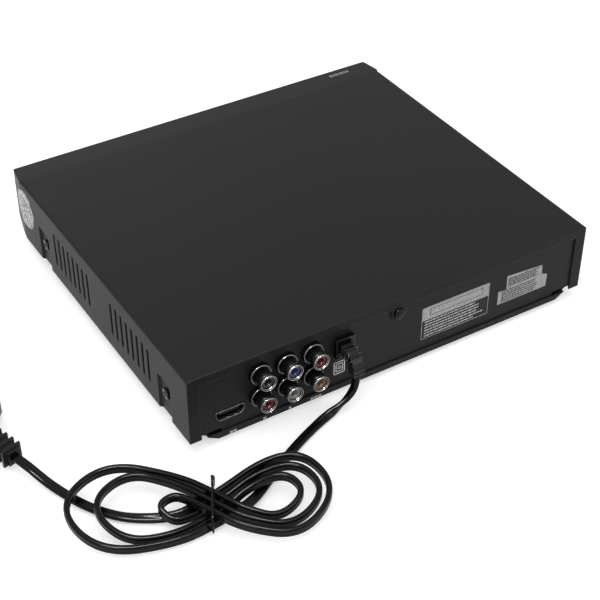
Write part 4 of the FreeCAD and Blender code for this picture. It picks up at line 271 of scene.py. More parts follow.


# The grain darkens the colour, the edges lighten it towards bright, partly as wear and partly as
# painted highlights, the handling varies the roughness between its two values, and the grain
# lifts a fine bump over the rounded edges
def makeFinish(name, look):
    look = {**usualLook, "bright": look["colour"], **look}
    material = bpy.data.materials.new(name)
    material.use_nodes = True
    tree = material.node_tree
    where = addNode(tree, "TexCoord", {})["Object"]
    grain, touched, edges = [
        addNode(tree, "Group", values, node_tree=group) for group, values in (
            (surfaceGrain, {"Vector": where, "Scale": look["grain"]}),
            (handling, {"Vector": where, "Scale": look["patches"]}),
            (roundedEdges, {"Radius": look["edge"]}))]
    deep = [value * look["shade"] for value in look["colour"]]
    lumps = mathNode(tree, "SUBTRACT", grain["Shade"], 0.5)
    spread = mathNode(tree, "MULTIPLY", lumps, look["mottle"])
    base = mixColour(tree, mathNode(tree, "ADD", spread, 0.5, clamp=True), deep, look["colour"])
    wornAndGlinting = mathNode(tree, "MULTIPLY", edges["Mask"], look["wearAndGlint"])
    low, high = look["rough"]
    rough = addNode(tree, "MapRange", {"Value": touched["Mask"], "To Min": low, "To Max": high})
    bump = addNode(tree, "Bump", {"Strength": look["bump"], "Distance": look["relief"],
                                  "Height": grain["Height"], "Normal": edges["Normal"]})
    feed(tree, tree.nodes["Principled BSDF"].inputs, {
        "Base Color": mixColour(tree, wornAndGlinting, base, look["bright"]),
        "Roughness": rough["Result"], "Normal": bump["Normal"], "Metallic": look["metallic"],
        "Specular IOR Level": look["specular"], "Coat Weight": look["coat"],
        "Coat Roughness": look["coatRoughness"]})
    return material


finishes = {
    "blackEnamel": dict(
        colour=(0.0085, 0.0085, 0.009), bright=(0.05, 0.05, 0.052), rough=(0.39, 0.44),
        grain=1100.0, bump=0.1, relief=0.00005, edge=0.0011, wearAndGlint=0.3, specular=0.1),
    "blackPanel": dict(
        colour=(0.0085, 0.0085, 0.009), bright=grey(0.04), rough=(0.4, 0.5), grain=1300.0,
        bump=0.12, relief=0.00005, wearAndGlint=0.3, specular=0.12),
    "zincSteel": dict(
        colour=(0.36, 0.365, 0.37), bright=grey(0.6), rough=(0.3, 0.42), metallic=1.0, grain=260.0,
        shade=0.82, bump=0.06),
    "bezelPlastic": dict(
        colour=(0.0075, 0.0075, 0.008), bright=(0.04, 0.04, 0.042), rough=(0.36, 0.41),
        grain=1500.0, bump=0.14, relief=0.00005, edge=0.0007, specular=0.12),
    "glossBlack": dict(
        colour=(0.006, 0.006, 0.007), bright=grey(0.03), rough=(0.12, 0.18), grain=600.0,
        bump=0.03, edge=0.0005, coat=0.06, specular=0.12),
    "mouldedBlack": dict(
        colour=grey(0.0045), bright=grey(0.1), rough=(0.24, 0.29), grain=1800.0, bump=0.08,
        relief=0.00006, wearAndGlint=0.35, specular=0.14),
    # strong edge lightening here paints glints on the ribs of the strain relief
    "reliefBlack": dict(
        colour=grey(0.0035), bright=grey(0.16), rough=(0.14, 0.22), bump=0.25, wearAndGlint=0.4,
        specular=0.2),
    # strong edge lightening here paints glints on the screw heads
    "blackScrew": dict(
        colour=(0.007, 0.007, 0.0075), bright=(0.4, 0.4, 0.41), rough=(0.15, 0.24), metallic=0.6,
        grain=700.0, bump=0.08, edge=0.00022, wearAndGlint=0.7, specular=0.2),
    "footRubber": dict(colour=(0.02, 0.02, 0.021), rough=(0.7, 0.82), grain=2200.0, bump=0.3),
    "pvcSleeve": dict(
        colour=(0.003, 0.003, 0.0031), bright=grey(0.02), rough=(0.14, 0.24), grain=1000.0,
        bump=0.22, edge=0.0003, specular=0.12),
    "nickelPlate": dict(
        colour=(0.34, 0.335, 0.325), bright=(0.6, 0.59, 0.57), rough=(0.14, 0.24), metallic=1.0,
        shade=0.9, bump=0.03, edge=0.0002),
    "greyPlastic": dict(colour=(0.12, 0.12, 0.125), rough=(0.4, 0.5), grain=1300.0),
    "stampedSteel": dict(
        colour=(0.45, 0.45, 0.46), bright=grey(0.7), rough=(0.24, 0.36), metallic=1.0, grain=320.0,
        shade=0.88, bump=0.05),
    "dieCast": dict(
        colour=(0.32, 0.32, 0.33), bright=grey(0.5), rough=(0.42, 0.55), metallic=1.0,
        grain=1100.0, shade=0.8),
    "lensGlass": dict(
        colour=(0.18, 0.2, 0.32), rough=(0.04, 0.08), grain=500.0, bump=0.01, coat=1.0),
    "boardGreen": dict(
        colour=(0.012, 0.085, 0.04), rough=(0.28, 0.4), grain=420.0, shade=0.7, bump=0.1),
    "boardTan": dict(
        colour=(0.36, 0.24, 0.11), rough=(0.5, 0.62), grain=700.0, shade=0.85, bump=0.1),
    "windingTape": dict(
        colour=(0.62, 0.42, 0.05), rough=(0.35, 0.45), grain=500.0, shade=0.85, bump=0.08),
    "capacitorSleeve": dict(
        colour=(0.03, 0.035, 0.05), bright=(0.2, 0.2, 0.22), rough=(0.25, 0.35), grain=700.0,
        bump=0.05),
    "smokedWindow": dict(
        colour=(0.004, 0.004, 0.005), rough=(0.05, 0.09), grain=300.0, bump=0.01, coat=0.1,
        edge=0.0003, specular=0.12),
    "whiteRibbon": dict(colour=(0.6, 0.6, 0.58), rough=(0.4, 0.5), bump=0.05, shade=0.92),
    "redSleeve": dict(colour=(0.3, 0.02, 0.015), rough=(0.34, 0.44), bump=0.05),
    "beltRubber": dict(colour=grey(0.014), rough=(0.55, 0.66), grain=2000.0),
    "labelFilm": dict(colour=grey(0.009), rough=(0.3, 0.4), bump=0.04, edge=0.0001, specular=0.15),
    "labelSilver": dict(
        colour=(0.37, 0.37, 0.365), bright=grey(0.45), rough=(0.34, 0.46), metallic=0.4,
        grain=1300.0, shade=0.45, mottle=3.0, bump=0.05, edge=0.0001),
    # painted highlight: the pale ring on the front edge of each jack's boss
    "highlightRingSteel": dict(
        colour=grey(0.2), bright=grey(0.5), rough=(0.15, 0.25), metallic=0.7, bump=0.05,
        edge=0.0001, wearAndGlint=0.6),
    "tinnedShell": dict(
        colour=(0.12, 0.12, 0.125), bright=grey(0.6), rough=(0.22, 0.34), metallic=1.0,
        grain=500.0, bump=0.04, edge=0.00015, wearAndGlint=0.5),
    "sealFoil": dict(
        colour=grey(0.5), bright=grey(0.7), rough=(0.28, 0.5), metallic=0.4, grain=1000.0,
        shade=0.08, mottle=7.0, bump=0.06, edge=0.0001),
}
jackPlastics = {   # colour of each jack's core, and how far its grain darkens it
    "Green": ((0.005, 0.013, 0.0095), 0.8),
    "Blue": ((0.008, 0.022, 0.085), 0.8),
    "Red": ((0.075, 0.003, 0.0065), 0.8),
    "White": ((0.15, 0.148, 0.14), 0.85),
    "Yellow": ((0.12, 0.062, 0.028), 0.85),
}
prints = {   # grey of each, and its grain's depth and contrast
    "labelPrint": (0.55, 0.4, 3.0), "faintPrint": (0.26, 0.3, 3.0), "whitePrint": (0.75, 0.8, 1.5),
}
for word, (tone, shade) in jackPlastics.items():
    finishes["jack" + word] = dict(colour=tone, rough=(0.22, 0.3), grain=1500.0, shade=shade,
                                   bump=0.1, specular=0.3)
for word, (tone, shade, mottle) in prints.items():
    finishes[word] = dict(colour=grey(tone), rough=(0.45, 0.55), grain=2200.0, shade=shade,
                          mottle=mottle, bump=0.02, edge=0.00005)
made = {name: makeFinish(name, look) for name, look in finishes.items()}
print("finishes: %d" % len(made))

nodeFinish = {
    "blackEnamel": ["top_cover"],
    "blackPanel": ["rear_panel", "chassis_pan"],
    "zincSteel": ["inner_screws", "guide_rods"],
    "tinnedShell": ["usb_socket"],
    "bezelPlastic": ["front_bezel", "tray_front"],
    "smokedWindow": ["display_window"],
    "glossBlack": ["power_button", "open_button", "play_button", "stop_button"],
    "reliefBlack": ["strain_relief"],
    "mouldedBlack": ["rca_housing", "plug_body", "loader_frame", "disc_tray", "tray_gear",
                     "belt_gear", "cam_slider", "main_chips", "display_module", "key_switches"],
    "footRubber": ["feet", "damper_grommets"],
    "nickelPlate": ["plug_pins", "lead_screw"],
    "greyPlastic": ["lift_frame", "turntable", "motor_pulley", "clamper"],
    "stampedSteel": ["clamper_bridge", "traverse_deck", "loading_motor", "spindle_motor",
                     "sled_motor"],
    "dieCast": ["pickup_sled"],
    "lensGlass": ["pickup_lens"],
    "boardGreen": ["main_board"],
    "boardTan": ["power_board", "front_board"],
    "windingTape": ["transformer"],
    "capacitorSleeve": ["capacitors"],
    "beltRubber": ["drive_belt"],
}


def dressNodes(plan):
    for finish, names in plan.items():
        for name in names:
            materials = cadNodes[name].data.materials
            materials.clear()
            materials.append(made[finish])


dressNodes(nodeFinish)
print("CAD nodes dressed")


# Mains lead: one flat two-core cord from the strain relief through its hank to the plug

lead = {
    "width": 0.0046,
    "thickness": 0.003,
    "groove": (0.2, 0.14),   # share of the thickness lost between the cores, and of the width
    "fullness": 0.7,         # under 1 makes the section squarer
    "corners": 28,           # points round the section
    "leastStep": 0.0002,     # the spline's points that lie closer are dropped
    "length": 0.9865,
    "down": [(0.031, 0.1073, 0.0194), (0.031, 0.1073, 0.0134), (0.0345, 0.1074, 0.0076),
             (0.0415, 0.1079, 0.0038), (0.0511, 0.1094, 0.00185), (0.0676, 0.1164, 0.0018),
             (0.0865, 0.1266, 0.0018)],
    "plugEnd": [(0.1468, 0.1235, 0.00185), (0.1575, 0.116, 0.0018), (0.1672, 0.1029, 0.0018),
                (0.1734, 0.0882, 0.0019), (0.1771, 0.0792, 0.0033), (0.1807, 0.0716, 0.00685),
                (0.1834, 0.063, 0.00685)],
    # how far along its section turns, from its start and back from its end, and to what angle:
    # on edge through the hank, and flat where it lies along the floor
    "twistStart": ([0, 0.02, 0.035, 0.085, 0.12], [90, 60, 0, 0, 90]),
    "twistEnd": ([0.11, 0.06, 0.035, 0], [90, 0, 0, 0]),
    "hanging": (0.03, 0.02),   # where its first, upright run ends, and over what length
}
hank = {
    "place": (0.12196, 0.13427),
    "turn": 151.5,
    "strandAngle": 36.0,
    "strandPitch": 0.0045,
    "waist": (0.0033, 0.0081),
    "lobe": (0.0038, 0.0073, 0.0078),   # heights of its lower shoulder, end and upper shoulder
    "shoulders": (math.sqrt(0.5), 0.78),   # where the left and right loops' upper shoulders are
    "left": [(0.0676, 0.025, 0.0014), (0.0536, 0.0188, 0.0013), (0.024, 0.0061, -0.0009)],
    "right": [(0.0407, 0.012, 0.0049), (0.0493, 0.0174, 0.0052), (0.054, 0.0223, 0.0053)],
    # distances along the strands from the waist
    "tail": 0.005, "tailStart": 0.012, "tailEnd": 0.009,
    "near": (0.021, 0.021, 0.009),
    "leave": (0.014, 0.003), "return": (0.0185, 0.008),   # of the first turn, and more for each
    "close": 0.006,
}


# A point on one of the strands that cross at the waist: offset = (middle - number) x pitch,
# across = offset sin a + along cos a, up = slope (along sin a - offset cos a)
def onStrand(number, slope, along, height):
    angle = math.radians(hank["strandAngle"])
    offset = ((1.5 - number) if slope > 0 else (1 - number)) * hank["strandPitch"]
    across = offset * math.sin(angle) + along * math.cos(angle)
    up = slope * (along * math.sin(angle) - offset * math.cos(angle))
    return across, up, height


# A loop's lower shoulder, end and upper shoulder: across = shift - half, shift and shift + half
def lobePoints(size, way, upper):
    reach, half, shift = size
    low, end, high = hank["lobe"]
    return [(way * reach * math.sqrt(0.5), shift - half, low), (way * reach, shift, end),
            (way * reach * upper, shift + half, high)]


# A point of the hank's own frame, turned and moved to where the hank lies
def hankPlace(along, across, up):
    turn = math.radians(hank["turn"])
    return (hank["place"][0] + along * math.cos(turn) - across * math.sin(turn),
            hank["place"][1] + along * math.sin(turn) + across * math.cos(turn), up)


# The figure of eight: turns of a left and a right loop, crossing at the waist
def hankPoints():
    low, high = hank["waist"]
    loose = hank["lobe"][2]
    tail, near, last = hank["tail"], hank["near"], len(hank["near"])
    leftUpper, rightUpper = hank["shoulders"]
    leave, leaveMore = hank["leave"]
    back, backMore = hank["return"]
    points = [onStrand(0, 1, tail + hank["tailStart"], low), onStrand(0, 1, tail, low)]
    for turn in range(last):
        points += [onStrand(turn, 1, 0, low), onStrand(turn, 1, -near[turn], low)]
        points += lobePoints(hank["left"][turn], -1, leftUpper)
        points += [onStrand(turn, -1, -near[turn], loose), onStrand(turn, -1, 0, high),
                   onStrand(turn, -1, leave + leaveMore * turn, loose)]
        points += lobePoints(hank["right"][turn], 1, rightUpper)
        points += [onStrand(turn + 1, 1, back + backMore * turn, loose),
                   onStrand(turn + 1, 1, hank["close"], low)]
    points += [onStrand(last, 1, 0, low), onStrand(last, 1, -tail, low),
               onStrand(last, 1, -tail - hank["tailEnd"], low)]
    return np.stack(hankPlace(*np.array(points).T), -1)


# A curve of one NURBS spline whose control points are the route's points
def splineCurve(name, route, steps=10):
    curve = bpy.data.curves.new(name, "CURVE")
    curve.dimensions = "3D"
    curve.resolution_u = steps
    spline = curve.splines.new("NURBS")
    route = np.asarray(route, float)
    spline.points.add(len(route) - 1)
    spline.points.foreach_set("co", np.column_stack([route, np.ones(len(route))]).ravel())
    spline.order_u = 3
    spline.use_endpoint_u = True
    return curve


# The points along the route's spline, as Blender works them out
def readSpline(name, route, leastStep):
    curve = splineCurve(name, route)
    holder = addObject(name, curve)
    line = bpy.data.meshes.new_from_object(holder)
    points = np.empty(len(line.vertices) * 3)
    line.vertices.foreach_get("co", points)
    bpy.data.objects.remove(holder)
    bpy.data.curves.remove(curve)
    bpy.data.meshes.remove(line)
    path = points.reshape(-1, 3)
    return path[np.concatenate([[True], stepLengths(path) > leastStep])]


# Distances from each point to the next
def stepLengths(path):
    return np.linalg.norm(np.diff(path, axis=0), axis=1)


# Unit vectors along the path, from the points before and after
def tangents(path):
    way = np.gradient(path, axis=0)
    return way / np.linalg.norm(way, axis=1, keepdims=True)


# Two cores side by side: across = half width x cos a, up = half thickness x sin a to the power
# of the fullness, less a dip that falls off with the square of the distance from the middle
def twinSection():
    depth, share = lead["groove"]
    angle = np.linspace(0, math.tau, lead["corners"], endpoint=False)
    across = lead["width"] / 2 * np.cos(angle)
    dip = 1 - depth * np.exp(-(across / (share * lead["width"])) ** 2)
    full = np.sign(np.sin(angle)) * np.abs(np.sin(angle)) ** lead["fullness"]
    return across, lead["thickness"] / 2 * full * dip


# The section at each point of the path: point + across x wide + up x thick
def placeSection(path, across, up, wide, thick):
    return path[:, None] + across[:, None] * wide[:, None] + up[:, None] * thick[:, None]


# The section carried along the path: side = tangent x reference, turned by the twist
def sweepPoints(path, across, up, reference, twist):
    tangent = tangents(path)
    side = np.cross(tangent, reference)
    side /= np.linalg.norm(side, axis=1, keepdims=True)
    rise = np.cross(side, tangent)
    turn = np.radians(twist)[:, None]
    wide = side * np.cos(turn) + rise * np.sin(turn)
    return placeSection(path, across, up, wide, np.cross(wide, tangent))


# The distance along is the sum of the steps, and the twist runs straight between its stops
def makeLead():
    whole = np.concatenate([lead["down"], hankPoints(), lead["plugEnd"]])
    path = readSpline("leadRoute", whole, lead["leastStep"])
    along = np.concatenate([[0], np.cumsum(stepLengths(path))])
    total = along[-1]
    (fromStart, startTwist), (fromEnd, endTwist) = lead["twistStart"], lead["twistEnd"]
    places = fromStart + [total - back for back in fromEnd]
    twist = np.interp(along, places, startTwist + endTwist)
    hangEnd, hangLength = lead["hanging"]
    upright = np.clip((hangEnd - along) / hangLength, 0, 1)[:, None]
    reference = np.array([0.0, 0.0, 1.0]) * (1 - upright) + np.array([0.0, 1.0, 0.0]) * upright
    across, up = twinSection()
    points = sweepPoints(path, across, up, reference, twist)
    uv = np.stack(np.broadcast_arrays(along[:, None], np.linspace(0, 1, len(across))[None]), -1)
    faces = tubeFaces(len(path), len(across))
    piece = addMesh("mainsLead", points, faces, "pvcSleeve", uv=uv)
    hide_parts("power_cord", "cord_hank", "plug_lead")
    return piece, path, total


# Wire tie round the hank's waist, its two ends twisted together

tie = {
    "wire": 0.00055, "roundness": 3, "steps": 6,
    "half": 0.0122, "low": 0.00065, "high": 0.0108,
    "bend": 0.002, "lowBend": 0.0018, "topBend": 0.0025,
    "apart": 0.0004,                       # the two ends, where they leave the loop
    "start": 0.0008, "end": 0.0052, "twist": 2.5, "points": 14, "wound": 0.95,
}


# A round wire along the spline of its route
def addWire(name, route, radius, finish, roundness, steps=10):
    curve = splineCurve(name, route, steps)
    curve.bevel_depth = radius
    curve.bevel_resolution = roundness
    curve.use_fill_caps = True
    curve.materials.append(made[finish])
    piece = addObject(name, curve)
    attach(piece, "player")
    return piece


# A loop of wire that lies on the strands, and its two ends wound round each other as a helix:
# across = start + end x share, and radius cos a and sin a along and up
def makeTie():
    half, low, high, bend = tie["half"], tie["low"], tie["high"], tie["bend"]
    middle = (low + high) / 2
    loop = [(0, half, middle), (0, half, low + tie["lowBend"]), (0, half - bend, low), (0, 0, low),
            (0, -half + bend, low), (0, -half, low + tie["lowBend"]), (0, -half, high - bend),
            (0, -half + tie["topBend"], high), (0, 0, high), (0, half - tie["topBend"], high),
            (0, half, high - bend), (0, half, middle + tie["apart"])]
    angle = np.linspace(0, math.tau * tie["twist"], tie["points"])
    shares = np.linspace(0, 1, tie["points"])
    wound = tie["wire"] * tie["wound"]
    pieces = []
    for number, (body, start) in enumerate(((loop[::-1], 0.0), (loop[:1], math.pi))):
        helix = [(wound * math.cos(a + start), half + tie["start"] + tie["end"] * share,
                  middle + wound * math.sin(a + start)) for a, share in zip(angle, shares)]
        route = [hankPlace(*point) for point in body + helix]
        piece = addWire("tieWire%d" % (number + 1), route, tie["wire"], "pvcSleeve",
                        tie["roundness"], tie["steps"])
        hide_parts("cord_tie")
        pieces.append(piece)
    return pieces


mainsLead, leadPath, leadTotal = makeLead()
makeTie()
print("mains lead: %.0f mm along its spline" % (1000 * leadTotal))


# Wires from the strain relief to the power board

wires = {
    "radius": 0.0009, "roundness": 4,
    "lengths": (0.1013, 0.1003),
    "route": [(0.0295, 0.0884, 0.0288), (0.0295, 0.0838, 0.0288), (0.0346, 0.077, 0.0278),
              (0.0352, 0.061, 0.025), (0.0356, 0.034, 0.0242), (0.039, 0.0085, 0.024),
              (0.045, -0.002, 0.0203), (0.045, -0.002, 0.0121)],
    "apart": 0.003,           # the second wire beside the first
    "spread": 0.00075,        # and further at their last bend
    "setBack": 0.001,         # and behind it where they go down to the board
    "finishes": ("redSleeve", "pvcSleeve"),
}


# The second wire is the first one moved aside
def makeWires():
    for number, finish in enumerate(wires["finishes"]):
        route = np.array(wires["route"])
        route[:, 0] += number * wires["apart"]
        route[5, 0] += number * wires["spread"]
        route[6:, 1] += number * wires["setBack"]
        piece = addWire("mainsWire%d" % (number + 1), route, wires["radius"], finish,
                        wires["roundness"])
        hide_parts("mains_wires")


makeWires()
print("inner wires made")


# Flat ribbon from the main board over the power board to the front board

ribbon = {
    "width": 0.012, "thickness": 0.0009, "cores": 12,
    "corners": 8,            # points across each core
    "swell": (0.45, 0.55),   # shares of the thickness between the cores, and more on them
    "leastStep": 0.000001,
    "middle": 0.087,
    "route": [(0.0158, 0.0122), (0.0158, 0.018), (0.0158, 0.0338), (0.0135, 0.0366),
              (0.009, 0.0366), (-0.035, 0.0362), (-0.082, 0.0366), (-0.0864, 0.0366),
              (-0.0884, 0.034), (-0.0884, 0.027), (-0.0886, 0.0203)],
}


# Cores side by side along a spline: half thickness = thickness / 2 (thin + swell |sin(pi n u)|)
def makeRibbon():
    route = [(ribbon["middle"], y, z) for y, z in ribbon["route"]]
    path = readSpline("ribbonRoute", route, ribbon["leastStep"])
    cores, (thin, more) = ribbon["cores"], ribbon["swell"]
    across = np.linspace(-0.5, 0.5, cores * ribbon["corners"] + 1)
    lobes = np.abs(np.sin(math.pi * cores * (across + 0.5)))
    swell = ribbon["thickness"] / 2 * (thin + more * lobes)
    section = np.concatenate([across, across[-2:0:-1]]) * ribbon["width"]
    rise = np.concatenate([swell, -swell[-2:0:-1]])
    wide = np.tile([1.0, 0.0, 0.0], (len(path), 1))
    points = placeSection(path, section, rise, wide, np.cross(wide, tangents(path)))
    faces = tubeFaces(len(path), len(section))
    piece = addMesh("frontRibbon", points, faces, "whiteRibbon")
    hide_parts("front_ribbon")


makeRibbon()
print("ribbon made")


# Phono jacks: turned barrels, black but for the bright lip round each coloured core; the
# barrels' black is a painted reflection, the dark surroundings seen in their plating

jacks = {
    "middle": 0.062, "pitch": 0.0139, "rows": (0.032, 0.0188),
    "foot": 0.0976, "tip": 0.1045,
    "radius": 0.00415, "wall": 0.0006,
    "lip": 0.0011, "lipStep": 0.0001, "chamfer": 0.0002,
    "rim": 0.00026, "soft": 0.3, "fine": 0.8,     # shares of the rim: its rounding, inner ring
    "groove": 0.00045, "linerBack": 0.0005, "linerUnder": 0.0001,
    "ringBack": 0.0002, "ringStep": 0.0003,
    "coreGap": 1.8,                               # in rims
    "recess": 0.0009, "edge": 0.00025, "bore": 0.0017, "depth": 0.005,
    "boss": 0.0052, "highlightRingProud": 0.00012, "highlightRingDepth": 0.0004,
    "colours": {"Green": [0], "Blue": [1], "Red": [2, 3], "White": [4], "Yellow": [5]},
}
jackCentres = [(jacks["middle"] + way * jacks["pitch"], z)
               for z in jacks["rows"] for way in (1, 0, -1)]


# Barrel, bright lip, a groove lined in black and a second bright ring, each turned about the
# jack's line; the black liner is painted shade, darkening the real recess between lip and core
def makeJacks():
    radius, tip, foot, chamfer = [jacks[word] for word in ("radius", "tip", "foot", "chamfer")]
    inner, lip = radius - jacks["wall"], tip - jacks["lip"]
    rim, soft, fine = [jacks["rim"] * share for share in (1, jacks["soft"], jacks["fine"])]
    liner, mouth = radius - rim - jacks["groove"], tip - jacks["linerBack"]
    front, shoulder = tip - jacks["ringBack"], tip - jacks["ringStep"]
    barrel = [(inner, foot), (radius, foot), (radius, lip - chamfer), (radius - chamfer, lip),
              (inner, lip)]
    outer = [(radius - rim, lip), (radius, lip + jacks["lipStep"]), (radius, tip - soft),
             (radius - soft, tip), (radius - rim + soft, tip), (radius - rim, tip - soft)]
    grooveShade = [(inner - jacks["linerUnder"], lip), (radius - rim, lip), (radius - rim, mouth),
            (liner, mouth)]
    second = [(liner - fine, lip), (liner, lip), (liner, shoulder), (liner - soft, front),
              (liner - fine + soft, front), (liner - fine, shoulder)]
    # the black barrels paint the dark reflection in the plating
    for name, profile, finish in (("jackBarrels", barrel, "mouldedBlack"),
                                  ("jackLips", outer, "nickelPlate"),
                                  ("jackGrooveShade", grooveShade, "mouldedBlack"),
                                  ("jackRings", second, "nickelPlate")):
        piece = addLathed(name, profile, jackCentres, finish, "ring")
        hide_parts("rca_shells")


# Coloured cores, each with a sunk rim, a flat face and a bore that ends blind
def makeCores():
    wide = jacks["radius"] - jacks["rim"] * jacks["coreGap"] - jacks["groove"]
    face, bore, edge = jacks["tip"] - jacks["recess"], jacks["bore"], jacks["edge"]
    profile = [(wide, jacks["foot"]), (wide, face - edge), (wide - edge, face), (bore + edge, face),
               (bore, face - edge), (bore, face - jacks["depth"])]
    for colour, numbers in jacks["colours"].items():
        centres = [jackCentres[number] for number in numbers]
        piece = addLathed("jackCore" + colour, profile, centres, "jack" + colour)
        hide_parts("rca_insert_" + colour.lower())


# A pale metal ring let over the front edge of each boss: a painted highlight, standing in for
# the light that edge catches
def makeHighlightRings():
    radius, front, proud = jacks["boss"], jacks["foot"], jacks["highlightRingProud"]
    inside, behind, half = radius - jacks["highlightRingDepth"], front - jacks["highlightRingDepth"], proud / 2
    band = [(inside, front - proud), (inside, front + half), (inside + half, front + proud),
            (radius, front + proud), (radius + proud, front), (radius + proud, behind + half),
            (radius + half, behind), (radius - proud, behind)]
    addLathed("jackHighlightRings", band, jackCentres, "highlightRingSteel", "ring")


makeCores()
makeHighlightRings()
makeJacks()
print("jacks turned")


# Digital video port: a rolled shell round a dark liner and a tongue with its contacts

port = {
    "middle": 0.0913, "low": 0.0121, "wide": 0.015, "high": 0.0056, "chamfer": 0.002,
    "wall": 0.0004, "corner": 0.0005, "steps": 5,
    "back": 0.0842, "mouth": 0.0956, "floor": 0.0875,
    "linerBack": 0.0012, "linerWalls": 1.5,
    "tongue": (0.0104, 0.0013), "tongueTip": 0.0939,
    "contacts": 10, "contact": (0.0004, 0.0001), "contactEnds": (0.45, 0.41),
    "contactShort": 0.0004,
    "tabs": (0.0888, 0.0925), "tab": (0.0007, 0.0003), "tabBack": 0.002, "tabLength": 0.0016,
}


# Each corner of a closed outline becomes a quadratic Bezier that starts and ends a cut away:
# (1 - t)^2 start + 2 t (1 - t) corner + t^2 end
def roundedOutline(corners, cut):
    corners = np.asarray(corners, float)
    towards = [np.roll(corners, way, axis=0) - corners for way in (1, -1)]
    start, end = [corners + cut * way / np.linalg.norm(way, axis=1, keepdims=True)
                  for way in towards]
    t = np.linspace(0, 1, port["steps"])[None, :, None]
    curve = ((1 - t) ** 2 * start[:, None] + 2 * t * (1 - t) * corners[:, None]
             + t ** 2 * end[:, None])
    return curve.reshape(-1, 2)


# Flat on top, with its two lower corners cut, every side moved out by grow
def portOutline(grow):
    side, chamfer = port["wide"] / 2 + grow, port["chamfer"] + (2 - math.sqrt(2)) * grow
    low, high = port["low"] - grow, port["low"] + port["high"] + grow
    middle = port["middle"]
    corners = [(middle - side, high), (middle - side, low + chamfer),
               (middle - side + chamfer, low), (middle + side - chamfer, low),
               (middle + side, low + chamfer), (middle + side, high)]
    return roundedOutline(corners, port["corner"] + grow / 2)


# Rings of (grow, y) for the shell and its liner, and boxes for the tongue, contacts and tabs
def makePort():
    wall, mouth, back, floor = [port[word] for word in ("wall", "mouth", "back", "floor")]
    shell = [(0, back), (0, mouth - wall / 3), (-wall / 3, mouth), (-wall * 2 / 3, mouth),
             (-wall, mouth - wall / 3), (-wall, back)]
    lining, within = mouth - port["linerBack"], -wall * port["linerWalls"]
    liner = [(-wall, back + wall), (-wall, lining), (within, lining), (within, floor)]
    shell, liner = [[(portOutline(grow), y) for grow, y in rings] for rings in (shell, liner)]
    middle, height = port["middle"], port["low"] + port["high"] / 2
    wide, thick = port["tongue"]
    long, top = port["tongueTip"] - floor, height + thick / 2
    tongue = (middle - wide / 2, height - thick / 2, middle + wide / 2, top)
    blade, proud = port["contact"]
    left, right = port["contactEnds"]
    places = np.linspace(middle - wide * left, middle + wide * right, port["contacts"])
    blades = [(x, top, x + blade, top + proud) for x in places]
    low, (half, high) = port["low"] + wall, port["tab"]
    tabs = [(x - half, low, x + half, low + high) for x in port["tabs"]]
    tabFace, short = mouth - port["tabBack"], port["contactShort"]
    pieces = [addPlates("portTabs", tabs, tabFace, port["tabLength"], "nickelPlate"),
              addOutlines("portShell", shell, "tinnedShell", "ring"),
              addOutlines("portLiner", liner, "mouldedBlack"),
              addPlates("portTongue", [tongue], floor, long, "mouldedBlack"),
              addPlates("portContacts", blades, floor, long - short, "nickelPlate")]
    for piece in pieces:
        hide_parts("hdmi_socket")


makePort()
print("video port made")


# Cover screws: pan heads with a cross recess, and their shanks

screws = {
    "head": 0.0029, "height": 0.0013, "dome": 0.00035, "shank": 0.0014, "length": 0.005,
    "rings": (0.04, 0.92, 30), "brim": [0.97, 1.0, 1.0], "brimDrop": 0.0002,
    "turns": 72, "turned": 0.4,
    "slot": 0.00042, "reach": 0.0016, "deep": 0.0009, "slope": 0.00016,
    "side": 0.1112, "sideY": (-0.0635, 0.0721), "sideZ": 0.0181,
    "rear": (0, 0.096, 0.0346),
}


# A polar grid about each screw's line: its height falls with the square of the radius, less
# the recess, whose depth grows with the distance inside a cross
def makeScrews():
    head, shank = screws["head"], screws["shank"]
    radius = np.concatenate([np.linspace(*screws["rings"]), screws["brim"]]) * head
    angle = np.linspace(0, math.tau, screws["turns"], endpoint=False) + screws["turned"]
    u, v = radius[:, None] * np.cos(angle), radius[:, None] * np.sin(angle)
    arms = [np.minimum(screws["reach"] - np.abs(one), screws["slot"] - np.abs(other))
            for one, other in ((u, v), (v, u))]
    inside = np.clip(np.maximum(*arms) / screws["slope"], 0, 1)
    fall = screws["dome"] * (radius[:, None] / head) ** 2
    up = screws["height"] - fall - screws["deep"] * inside
    up[-2] -= screws["brimDrop"]
    up[-1] = 0
    ends = np.array([[0.0], [shank / 2 - screws["length"]]]) + 0 * angle
    u = np.vstack([u, shank * np.cos(angle) + 0 * ends])
    v = np.vstack([v, shank * np.sin(angle) + 0 * ends])
    up = np.vstack([up, ends])
    points = [np.stack([way * screws["side"] + way * up, y + u, screws["sideZ"] + v], -1)
              for way in (1, -1) for y in screws["sideY"]]
    x, y, z = screws["rear"]
    points.append(np.stack([x + u, y + up, z + v], -1))
    faces = tubeFaces(*u.shape, copies=len(points))
    piece = addMesh("coverScrews", points, faces, "blackScrew")
    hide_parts("cover_screws")


makeScrews()
print("screws made")


# Labels on the rear panel, left bare, and the seal across the cover's front seam

